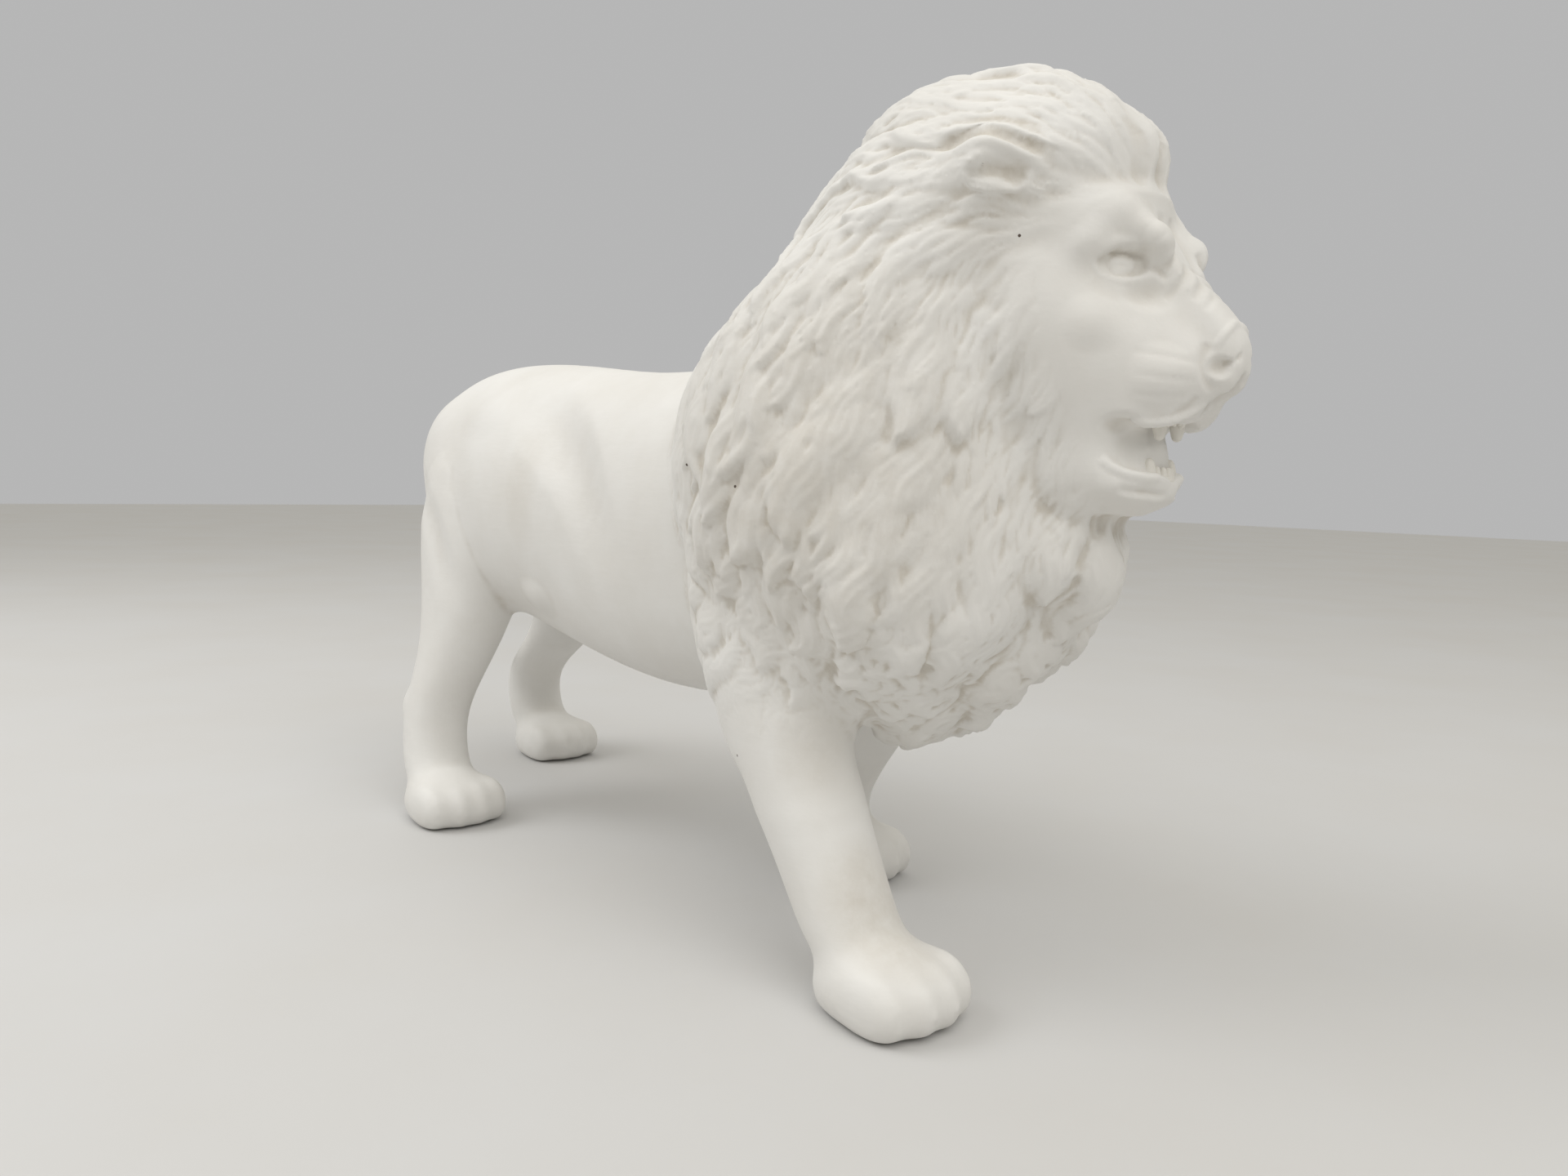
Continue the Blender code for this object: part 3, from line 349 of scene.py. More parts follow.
# How much deeper than elsewhere a hollow of the face is for the same dust and painted shade
FACE_HOLLOW_EASING = 1.6
# Patches of dust and painted shade: forward, right, height, radii and strength
DUST_AND_SHADE_SPOTS = (
    (108, 26, 24, 20, 16, 16, 0.75),
    (-33.4, 32, 104, 8, 14, 22, 0.25),
    (-74, 34, 8, 16, 16, 8, 0.45),
    (86, 34, 52, 8, 14, 12, 0.35),
    (90, 36, 108, 46, 28, 46, 0.6),
)

# How a piece's border is closed: how far it turns in, and the shrinking of its inner ring
FAN_DEPTH = 1.2 * MM
FAN_SHRINKING = 0.06
# How much a face's own node counts against its neighbours' nodes
OWN_VOTE = 1.5
# The paint: how much grime shows through where it is thin, how strong the dust and painted shade
# are in the hollows, how rough it is, its gloss, and the share of the cells that have no speck
THINNING, DUST_AND_SHADE_STRENGTH, PAINT_ROUGHNESS = (0.0, 0.2), (0.35, 1.0), (0.52, 0.72)
PAINT_SPECULAR, SPECKLESS = 0.35, 0.93
FLOOR_SIZE, FLOOR_ROUGHNESS, FLOOR_CLOUDS = 3.0, 0.9, (0.0, 0.15)
# Brightness of the room by the height it comes from: straight down, level and straight up
ROOM_SHADES = ((0.0, 0.10), (0.47, 0.20), (0.62, 0.72), (1.0, 1.60))
ROOM_TINT = (1.0, 0.975, 0.91)
BACKDROP = (0.47, 0.47, 0.47, 1.0)
CAMERA_PLACE = (0.25992, -0.1935, 0.107)
CAMERA_WAY = (-0.7452, 0.6601, -0.0941)
CAMERA_ROLL = math.radians(1.4)
LAMP_TARGET = (0, 0, 0.1)
# Lamps: place, size and colour
LAMPS = {
    "key": ((-0.46, -0.62, 0.74), 0.65, (0.985, 0.99, 1.0)),
    "fill": ((0.74, -0.22, 0.92), 0.9, (1.0, 0.99, 0.975)),
}
# The radius of a tooth's tip against that of its root
PEG_TAPER = 0.48
# Rows of teeth: start, turning point and end (forward, right, height), teeth, length,
# radius, how much larger the canines are, and the way the teeth point
TEETH_ROWS = {
    "upper_teeth": (
        (40.2, 4.4, 119.2), (45.0, 0.0, 121.0), (40.2, -4.4, 119.2), 8, 2.0, 0.9, 2.0, -1.0,
    ),
    "lower_teeth": (
        (38.8, 5.0, 108.2), (42.0, 0.0, 107.6), (38.8, -5.0, 108.2), 7, 2.6, 1.15, 1.5, 1.0,
    ),
}


class HairKind(NamedTuple):
    """How one kind of hair lies, and what curl, crown and nearness to the face change.

    Lengths and widths are in millimetres, as a lowest and a highest value.  The changes
    are shares for full curl, for the top of the crown and for the edge of the face.
    """

    curl_top: float
    length: tuple
    length_changes: tuple
    half_width: tuple
    width_changes: tuple
    relief: tuple
    relief_changes: tuple
    swing: tuple
    wave: tuple
    patchy: bool
    roundness: float


CLUMP = HairKind(
    100, (26, 40), (-0.45, 0.3, 0), (5.5, 11.0), (-0.25, -0.4, -0.4),
    (0.4, 1.1), (-0.5, -0.6, -0.5), (0.45, 0.45), (34, -12), False, 0.75,
)
LOCK = HairKind(
    105, (17, 32), (-0.35, 0.3, -0.25), (1.8, 4.2), (0, -0.3, -0.45),
    (0.5, 1.15), (0, 0, -0.4), (0.45, 0.85), (20, -6), True, 0.55,
)
FRINGE = HairKind(
    105, (10, 19), (0, 0, 0), (0.75, 1.3), (0, 0, 0),
    (0.6, 1.15), (0, 0, 0), (0.22, 0), (16, 0), False, 0.5,
)


def length_setting(name, description, default):
    """A length that the user may change."""
    return FloatProperty(name=name, description=description, default=default, unit="LENGTH")


def power_setting(name, description, default):
    """The power of a lamp."""
    return FloatProperty(name=name, description=description, default=default, unit="POWER")


def colour_setting(name, description, default):
    """A colour that the user may change."""
    return FloatVectorProperty(
        name=name, description=description, default=default,
        subtype="COLOR", size=4, min=0.0, max=1.0,
    )


class FigureSizes(bpy.types.PropertyGroup):
    """How finely the skin is made."""

    voxel: length_setting("Clay grain", "Edge length of the first, coarse skin", 1.05 * MM)
    growth: length_setting(
        "Joint filling", "How far each solid is grown so that the glued joints close", 0.4 * MM,
    )
    rounding: IntProperty(
        name="Rounding", default=7, min=0,
        description="Rounds of smoothing after the solids and lumps are joined",
    )


class ManeSizes(bpy.types.PropertyGroup):
    """How the mane is combed."""

    clump_spacing: length_setting(
        "Clump spacing", "Distance between the roots of the large clumps", 10.0 * MM,
    )
    clump_relief: length_setting(
        "Clump relief", "Height of a large clump over its surroundings", 4.4 * MM,
    )
    lock_spacing: length_setting(
        "Lock spacing", "Distance between the roots of the locks", 4.8 * MM,
    )
    lock_relief: length_setting(
        "Lock relief", "Height of a lock over its surroundings", 1.25 * MM,
    )
    fringe_spacing: length_setting(
        "Fringe spacing", "Distance between the roots of the thin strands round the face",
        2.6 * MM,
    )
    fringe_relief: length_setting(
        "Fringe relief", "Height of a thin strand round the face", 0.42 * MM,
    )
    strand_relief: length_setting(
        "Strand relief", "Depth of the fine grooves along each lock", 0.14 * MM,
    )
    seed: IntProperty(name="Seed", description="Seed of the places of the locks", default=7)


class PaintColours(bpy.types.PropertyGroup):
    """The painted finish."""

    paint: colour_setting("Paint", "Matte warm white paint", (0.80, 0.79, 0.765, 1.0))
    tooth: colour_setting(
        "Tooth paint", "The same paint on the teeth, a little yellower", (0.80, 0.78, 0.73, 1.0),
    )
    # Beige dust and painted shade in the hollows; the same colour also clouds the thin paint and
    # the floor
    grime_and_shade: colour_setting("Grime", "Beige dust in the hollows", (0.52, 0.47, 0.39, 1.0))
    speck: colour_setting("Specks", "Small dark specks on the paint", (0.10, 0.075, 0.06, 1.0))
    floor: colour_setting("Floor", "Plain pale floor and backdrop", (0.62, 0.62, 0.62, 1.0))


class StageSizes(bpy.types.PropertyGroup):
    """The camera and the lamps."""

    lens: FloatProperty(
        name="Lens", description="Focal length of the camera, in millimetres", default=27.06,
    )
    key_power: power_setting(
        "Key lamp", "Power of the large soft lamp above and behind the figure", 3.8,
    )
    fill_power: power_setting("Fill lamp", "Power of the wide lamp ahead of the figure", 4.6)
    world_strength: FloatProperty(
        name="Room light", description="Strength of the even light from all around", default=0.55,
    )


def skin_object():
    """The skin while it is being modelled."""
    found = bpy.data.objects.get(SKIN_NAME)
    if found is None:
        raise RuntimeError("The skin isn't there: run the skin operator first")
    return found


def add_object(name, data):
    """A new object in the scene."""
    thing = bpy.data.objects.new(name, data)
    bpy.context.scene.collection.objects.link(thing)
    return thing


@contextmanager
def reshaped(mesh):
    """A mesh that is open for changes to its shape, and stored when they are made."""
    shape = bmesh.new()
    shape.from_mesh(mesh)
    yield shape
    shape.to_mesh(mesh)
    shape.free()


def read_values(items, name, width=1, kind=np.float32):
    """A value of every item, as an array that has a row for each item if it is wide."""
    values = np.empty(len(items) * width, dtype=kind)
    items.foreach_get(name, values)
    return values.reshape(-1, width) if width > 1 else values


def keep_values(mesh, name, values, kind="FLOAT", domain="POINT"):
    """Store a value for each vertex or each face as an attribute."""
    mesh.attributes.new(name, kind, domain).data.foreach_set("value", values)


def search_tree(places):
    """A tree that finds the nearest of some places."""
    tree = KDTree(len(places))
    for number, place in enumerate(places.tolist()):
        tree.insert(place, number)
    tree.balance()
    return tree


def ramp(value, start, span, low=0, high=1):
    """How far a value has gone from a start over a span, held between low and high."""
    return np.clip((value - start) / span, low, high)


class Clay:
    """A mesh's vertices as arrays, with the strokes that model them."""

    def __init__(self, mesh):
        self.mesh = mesh
        self.places = read_values(mesh.vertices, "co", 3).astype(np.float64)
        self.edges = read_values(mesh.edges, "vertices", 2, np.int32)
        self.counts = np.bincount(self.edges.ravel(), minlength=len(self.places))
        self.tree = None
        self.read_normals()

    def read_normals(self):
        """Take the vertex normals of the mesh as it is now."""
        self.normals = read_values(self.mesh.vertex_normals, "vector", 3).astype(np.float64)

    def store(self):
        """Write the places back to the mesh and read its new normals."""
        self.mesh.vertices.foreach_set("co", self.places.astype(np.float32).ravel())
        self.mesh.update()
        self.read_normals()

    def on_surface(self, points):
        """The places of the skin's vertices that were nearest to some points."""
        if self.tree is None:
            self.tree = search_tree(self.places)
        return self.places[[self.tree.find(point)[1] for point in points.tolist()]]

    def neighbour_mean(self, values):
        """For each vertex, the mean of a value over its neighbours."""
        first, second = self.edges[:, 0], self.edges[:, 1]
        size = len(self.places)
        if values.ndim == 1:
            total = np.bincount(first, values[second], size)
            total += np.bincount(second, values[first], size)
            return total / self.counts
        columns = [self.neighbour_mean(values[:, axis]) for axis in range(values.shape[1])]
        return np.stack(columns, axis=1)

    def relax(self, rounds, mask=1.0, shares=(0.5,)):
        """Melt the skin, so that small steps go and hollows fill."""
        for share in shares * rounds:
            self.places += (self.neighbour_mean(self.places) - self.places) * share * mask

    def smooth(self, rounds):
        """Relax the skin without shrinking it: each round goes in and back out."""
        self.relax(rounds, shares=SMOOTHING_SHARES)

    def weight(self, part, spot, power=2.0, centre=None):
        """How strongly a round stroke acts on each vertex, from 1 at its middle to 0."""
        if centre is None:
            centre = part.point(*spot[:3])
        local = (self.places - centre) @ part.axes.T
        reach = ((local / (np.array(spot[3:6]) * MM)) ** 2).sum(axis=1)
        return np.where(reach < 1, (1 - np.minimum(reach, 1)) ** power, 0.0)

    def swell(self, part, stroke, power=2.0, centre=None):
        """Raise the skin along its normals, or press it in with a negative height."""
        amount = self.weight(part, stroke, power, centre) * stroke[6] * MM
        self.places += self.normals * amount[:, None]

    def line(self, points, half_width, height, taper):
        """A groove or a ridge along a line of points, deepest in the middle of its run."""
        points = self.on_surface(smooth_line(points))
        for _ in range(LINE_EASING):
            points[1:-1] = (points[:-2] + 2 * points[1:-1] + points[2:]) / 4
        reach = half_width * MM
        low, high = points.min(axis=0) - reach, points.max(axis=0) + reach
        near = np.flatnonzero(((self.places > low) & (self.places < high)).all(axis=1))
        if not len(near):
            return
        distance, along, _ = line_reach(self.places[near], self.normals[near], points)
        across = np.clip(1 - (distance / reach) ** 2, 0, 1) ** 2
        ends = np.clip(4 * along * (1 - along), 0, 1) ** taper
        amount = across * ends * height * MM
        self.places[near] += self.normals[near] * amount[:, None]

    def draw_lines(self, part, lines, taper=0.5):
        """Draw lines on both sides of a part, or once on its middle."""
        for half_width, height, *numbers in lines:
            points = np.reshape(numbers, (-1, 3))
            for sign in (1, -1) if points[:, 1].any() else (1,):
                placed = [part.point(x, y * sign, z) for x, y, z in points]
                self.line(placed, half_width, height, taper)

    def keep_inside(self):
        """Hold the skin inside the solids' box, and store it."""
        low, high = (np.array(corner) for corner in CAD_BOX)
        self.places = np.clip(self.places, low + BOX_MARGIN, high - BOX_MARGIN)
        self.store()


def curve_points(rows, place):
    """Rows of numbers on a smooth curve through given rows, at places counted in rows."""
    rows = np.asarray(rows, dtype=float)
    padded = np.concatenate((2 * rows[:1] - rows[1:2], rows, 2 * rows[-1:] - rows[-2:-1]))
    first = np.minimum(place.astype(int), len(rows) - 2)
    share = (place - first).reshape((-1,) + (1,) * (rows.ndim - 1))
    before, start, end, after = (padded[first + step] for step in range(4))
    slope_in, slope_out = (end - before) / 2, (after - start) / 2
    cubic = 2 * start - 2 * end + slope_in + slope_out
    square = 3 * end - 3 * start - 2 * slope_in - slope_out
    return ((cubic * share + square) * share + slope_in) * share + start


def through_points(rows, count):
    """Rows of numbers spaced evenly on a smooth curve through the given rows."""
    return curve_points(rows, np.linspace(0, len(rows) - 1, count))


def smooth_line(points, step=0.6 * MM):
    """A smooth curve through some points, as closely spaced points."""
    places = []
    for number, run in enumerate(np.diff(points, axis=0)):
        count = max(2, int(np.linalg.norm(run) / step))
        places.append(number + np.arange(count) / count)
    return curve_points(points, np.concatenate((*places, [len(points) - 1.0])))


def line_reach(places, normals, points):
    """Distance, share of the way along, and signed side offset from a line of points."""
    starts, runs = points[:-1], np.diff(points, axis=0)
    lengths = np.linalg.norm(runs, axis=1)
    travelled = np.concatenate(([0.0], np.cumsum(lengths)))
    best = np.full(len(places), np.inf)
    along, side = np.zeros(len(places)), np.zeros(len(places))
    for index, (start, run, length) in enumerate(zip(starts, runs, lengths)):
        if length == 0:
            continue
        offset = places - start
        share = np.clip(offset @ run / length ** 2, 0, 1)
        away = offset - share[:, None] * run
        distance = np.linalg.norm(away, axis=1)
        nearer = distance < best
        best[nearer] = distance[nearer]
        along[nearer] = (travelled[index] + share[nearer] * length) / travelled[-1]
        across = np.cross(run / length, normals[nearer])
        side[nearer] = (away[nearer] * across).sum(axis=1)
    return best, along, side


def face_corners(mesh):
    """The four corners of each face of the skin."""
    return read_values(mesh.loops, "vertex_index", kind=np.int32).reshape(-1, 4)


def face_owners(mesh):
    """The number of the node that each face of the skin stands for."""
    return read_values(mesh.attributes["owner"].data, "value", kind=np.int32)


def keep_owners(mesh, owners):
    """Store the number of the node that each face of the skin stands for."""
    keep_values(mesh, "owner", owners.astype(np.int32), "INT", "FACE")


def vertex_values(clay, table, rounds):
    """A value at each vertex from a table by node, eased across the borders."""
    by_node = np.array([float(table.get(name, 0)) for name in SKIN_NODES])
    values = np.zeros(len(clay.places))
    values[face_corners(clay.mesh).ravel()] = np.repeat(by_node[face_owners(clay.mesh)], 4)
    for _ in range(rounds):
        values = 0.5 * values + 0.5 * clay.neighbour_mean(values)
    return values


def mesh_of(name, places, quads, fans=()):
    """A mesh from arrays of places, four-cornered faces and three-cornered ones."""
    fans = np.array(fans, dtype=np.int32).reshape(-1, 3)
    mesh = bpy.data.meshes.new(name)
    mesh.vertices.add(len(places))
    mesh.vertices.foreach_set("co", places.astype(np.float32).ravel())
    mesh.loops.add(quads.size + fans.size)
    corners = np.concatenate((quads.ravel(), fans.ravel())).astype(np.int32)
    mesh.loops.foreach_set("vertex_index", corners)
    sizes = np.concatenate((np.full(len(quads), 4), np.full(len(fans), 3)))
    mesh.polygons.add(len(sizes))
    mesh.polygons.foreach_set("loop_start", (np.cumsum(sizes) - sizes).astype(np.int32))
    mesh.update(calc_edges=True)
    if mesh.validate():
        raise RuntimeError(f"{name} has faces that share an edge twice")
    mesh.shade_smooth()
    return mesh


def edge_keys(quads, size):
    """The start and the end of each face's sides, and one number for each edge."""
    starts, ends = quads.ravel(), np.roll(quads, -1, axis=1).ravel()
    keys = np.minimum(starts, ends).astype(np.int64) * size + np.maximum(starts, ends)
    return starts, ends, keys


def divided_quads(places, quads):
    """Each face divided in four and eased as a subdivision surface does."""
    size = len(places)
    edges, sides = np.unique(edge_keys(quads, size)[2], return_inverse=True)
    sides = sides.reshape(-1, 4)
    ends_of_edges = np.stack((edges // size, edges % size), axis=1)
    middles = places[quads].mean(axis=1)
    halves = places[ends_of_edges].mean(axis=1)
    edge_faces = np.bincount(sides.ravel(), minlength=len(edges))
    corner_faces = np.bincount(quads.ravel(), minlength=size)
    corner_edges = np.bincount(ends_of_edges.ravel(), minlength=size)
    edge_places, corner_places = np.empty_like(halves), np.empty_like(places)
    for axis in range(3):
        face_middles = np.repeat(middles[:, axis], 4)
        edge_middles = np.repeat(halves[:, axis], 2)
        of_faces = np.bincount(sides.ravel(), face_middles, len(edges))
        edge_places[:, axis] = (halves[:, axis] + of_faces / edge_faces) / 2
        around = np.bincount(quads.ravel(), face_middles, size) / corner_faces
        spokes = np.bincount(ends_of_edges.ravel(), edge_middles, size) / corner_edges
        corner_places[:, axis] = (
            around + 2 * spokes + (corner_faces - 3) * places[:, axis]
        ) / corner_faces
    centre = size + len(edges) + np.arange(len(quads))
    children = np.empty((len(quads), 4, 4), dtype=np.int64)
    for corner in range(4):
        children[:, corner, 0] = quads[:, corner]
        children[:, corner, 1] = size + sides[:, corner]
        children[:, corner, 2] = centre
        children[:, corner, 3] = size + sides[:, corner - 1]
    return np.concatenate((corner_places, edge_places, middles)), children.reshape(-1, 4)


def welded_copy(node_name, growth):
    """A copy of a solid of the frame, its doubles merged and its skin grown outwards."""
    shape = bmesh.new()
    shape.from_mesh(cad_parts[node_name].data)
    bmesh.ops.remove_doubles(shape, verts=shape.verts[:], dist=0.01 * MM)
    shape.normal_update()
    for vertex in shape.verts:
        vertex.co += vertex.normal * growth
    return shape


def add_lump(shape, part, lump):
    """Add an ellipsoid to the clay."""
    turned = Matrix([list(row) for row in part.axes.T]).to_4x4()
    placed = Matrix.Translation(Vector(part.point(*lump[:3]))) @ turned
    sizes = Matrix.Diagonal((*(np.array(lump[3:]) * MM), 1.0))
    bmesh.ops.create_icosphere(shape, subdivisions=3, radius=1.0, matrix=placed @ sizes)


def both_sides(rows):
    """Each row once, and again on the other side where it isn't in the middle."""
    for row in rows:
        yield row
        if row[1]:
            yield (row[0], -row[1], *row[2:])


def add_sections(shape, sections, closing=()):
    """Add a solid through sections of the head, the same on both sides."""
    table = []
    for forward, *numbers in sections:
        row = list(np.reshape(numbers, (-1, 2)))
        last = row[-1]
        row += [(last[0] * share, last[1] + rise) for share, rise in closing]
        table.append([(forward, right, height) for right, height in row])
    rings = []
    for row in through_points(table, len(sections) * RINGS_PER_SECTION):
        half = through_points(row, len(row) * POINTS_PER_POINT)
        half[:, 1] = np.maximum(half[:, 1], 0)
        other = half[-2:0:-1] * (1, -1, 1)
        rings.append([shape.verts.new(HEAD.point(*point)) for point in (*half, *other)])
    size = len(rings[0])
    for lower, upper in zip(rings, rings[1:]):
        for here in range(size):
            there = (here + 1) % size
            shape.faces.new((lower[here], upper[here], upper[there], lower[there]))
    shape.faces.new(rings[0])
    shape.faces.new(rings[-1][::-1])


def gather_clay(growth):
    """One mesh of the frame's solids, with the face, the jaw and the lumps added."""
    whole = bmesh.new()
    holder = bpy.data.meshes.new("clay")
    for name in SKIN_NODES:
        if name == "lower_jaw":
            continue
        copy = welded_copy(name, growth)
        if name == "head_shell":
            set_back = Vector(HEAD.axes[0] * -HEAD_SET_BACK)
            bmesh.ops.translate(copy, verts=copy.verts[:], vec=set_back)
        copy.to_mesh(holder)
        copy.free()
        whole.from_mesh(holder)
    face = bmesh.new()
    add_sections(face, FACE_SECTIONS, MOUTH_ROOF)
    add_sections(face, JAW_SECTIONS)
    for row in both_sides(HEAD_LUMPS):
        add_lump(face, HEAD, row)
    for row in BODY_LUMPS:
        add_lump(face, BODY, row)
    bmesh.ops.recalc_face_normals(face, faces=face.faces[:])
    face.to_mesh(holder)
    face.free()
    whole.from_mesh(holder)
    whole.to_mesh(holder)
    whole.free()
    return holder


def evaluated_mesh(thing):
    """The mesh of an object with its modifiers applied."""
    depsgraph = bpy.context.evaluated_depsgraph_get()
    return bpy.data.meshes.new_from_object(thing.evaluated_get(depsgraph))


def links_of(size, pairs):
    """For each of a number of things, the things that the pairs link it to."""
    links = [[] for _ in range(size)]
    for first, second in pairs.tolist():
        links[first].append(second)
        links[second].append(first)
    return links


def islands(links, kinds):
    """Groups of linked things of one kind, each group found just before it is used."""
    seen = np.zeros(len(links), dtype=bool)
    for start in range(len(links)):
        if seen[start]:
            continue
        seen[start] = True
        island, stack = [start], [start]
        while stack:
            for other in links[stack.pop()]:
                if not seen[other] and kinds[other] == kinds[start]:
                    seen[other] = True
                    island.append(other)
                    stack.append(other)
        yield island


def keep_outer_skin(mesh):
    """Keep the longest island, which is the outside of the figure."""
    along = read_values(mesh.vertices, "co", 3)[:, 0]
    links = links_of(len(along), read_values(mesh.edges, "vertices", 2, np.int32))
    found = islands(links, np.zeros(len(along)))
    kept = set(max(found, key=lambda island: np.ptp(along[island])))
    with reshaped(mesh) as shape:
        loose = [vertex for vertex in shape.verts if vertex.index not in kept]
        bmesh.ops.delete(shape, geom=loose, context="VERTS")


class LION_OT_skin(bpy.types.Operator):
    """Join the solids and the clay lumps into one skin."""

    bl_idname = "lion.skin"
    bl_label = "Shape the skin"

    def execute(self, context):
        sizes = context.scene.lion_figure
        thing = add_object(SKIN_NAME, gather_clay(sizes.growth))
        remesh = thing.modifiers.new("one skin", "REMESH")
        remesh.mode = "VOXEL"
        remesh.voxel_size = sizes.voxel
        mesh = evaluated_mesh(thing)
        thing.modifiers.clear()
        thing.data = mesh
        keep_outer_skin(mesh)
        if not len(mesh.polygons):
            raise RuntimeError("The skin came out empty")
        keep_owners(mesh, tidy_owners(mesh, nearest_nodes(mesh)))
        clay = Clay(mesh)
        clay.relax(rounds=2)
        clay.smooth(sizes.rounding)
        clay.keep_inside()
        return {"FINISHED"}


def nearest_nodes(mesh):
    """For each face of the skin, the number of the node whose solid is nearest."""
    corners, faces, owners = [], [], []
    for number, name in enumerate(SKIN_NODES):
        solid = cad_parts[name].data
        base = len(corners)
        corners.extend(vertex.co.copy() for vertex in solid.vertices)
        for face in solid.polygons:
            faces.append([base + corner for corner in face.vertices])
            owners.append(number)
    tree = BVHTree.FromPolygons(corners, faces)
    centres = read_values(mesh.polygons, "center", 3)
    return np.array([owners[tree.find_nearest(Vector(centre))[2]] for centre in centres])


def face_neighbours(mesh):
    """Pairs of faces that share an edge."""
    loops = read_values(mesh.loops, "edge_index", kind=np.int32)
    totals = read_values(mesh.polygons, "loop_total", kind=np.int32)
    faces = np.repeat(np.arange(len(totals)), totals)
    order = np.argsort(loops, kind="stable")
    edges, faces = loops[order], faces[order]
    same = edges[:-1] == edges[1:]
    return np.stack((faces[:-1][same], faces[1:][same]), axis=1)


def tidy_owners(mesh, owners, rounds=6, smallest=60):
    """Smooth the borders between the owners and drop their small islands."""
    pairs = face_neighbours(mesh)
    size = len(owners)
    for _ in range(rounds):
        votes = np.zeros((size, len(SKIN_NODES)))
        np.add.at(votes, (pairs[:, 0], owners[pairs[:, 1]]), 1.0)
        np.add.at(votes, (pairs[:, 1], owners[pairs[:, 0]]), 1.0)
        votes[np.arange(size), owners] += OWN_VOTE
        owners = votes.argmax(axis=1)
    links = links_of(size, pairs)
    for island in islands(links, owners):
        if len(island) < smallest:
            around = owners[[other for face in island for other in links[face]]]
            around = around[around != owners[island[0]]]
            if len(around):
                owners[island] = np.bincount(around).argmax()
    return owners


def behind_face(places):
    """How far each place lies behind the edge of the face's hair, in millimetres."""
    local = (places - HEAD.origin) @ HEAD.axes.T / MM
    heights, edges = np.array(HAIR_EDGE, dtype=float).T
    near_head = (local[:, 0] > HEAD_BACK) & (local[:, 2] > HEAD_BOTTOM)
    return np.where(
        near_head, np.interp(local[:, 2], heights, edges) - local[:, 0], FAR_BEHIND,
    )


class LION_OT_model_body(bpy.types.Operator):
    """Melt the facets of the solids and model the muscles of the body."""

    bl_idname = "lion.model_body"
    bl_label = "Model the body"

    def execute(self, context):
        clay = Clay(skin_object().data)
        rounds = vertex_values(clay, MELTING_ROUNDS, rounds=4)
        for row in MELTED_SPOTS:
            rounds += row[6] * clay.weight(BODY, row, power=0.7)
        edge = behind_face(clay.places) / FACE_EDGE_WIDTH
        rounds += FACE_EDGE_ROUNDS * np.exp(-(edge ** 2))
        for step in range(int(rounds.max())):
            clay.relax(1, np.clip(rounds - step, 0, 1)[:, None])
        clay.store()
        for row in BODY_STROKES:
            clay.swell(BODY, row)
        clay.draw_lines(BODY, BODY_LINES, taper=1.6)
        clay.smooth(rounds=4)
        clay.keep_inside()
        return {"FINISHED"}


class LION_OT_refine(bpy.types.Operator):
    """Divide every face of the skin in four for the fine work."""

    bl_idname = "lion.refine"
    bl_label = "Refine the skin"

    def execute(self, context):
        thing = skin_object()
        places, quads = divided_quads(Clay(thing.data).places, face_corners(thing.data))
        mesh = mesh_of(SKIN_NAME, places, quads)
        keep_owners(mesh, np.repeat(face_owners(thing.data), 4))
        thing.data = mesh
        return {"FINISHED"}


class LION_OT_model_head(bpy.types.Operator):
    """Model the face, the jaw and the ears."""

    bl_idname = "lion.model_head"
    bl_label = "Model the head"

    def execute(self, context):
        clay = Clay(skin_object().data)
        for row in both_sides(HEAD_STROKES):
            centre = clay.on_surface(HEAD.point(*row[:3])[None])[0]
            clay.swell(HEAD, row, row[7], centre)
        clay.store()
        clay.draw_lines(HEAD, HEAD_LINES)
        clay.draw_lines(HEAD, EAR_LINES)
        clay.keep_inside()
        return {"FINISHED"}


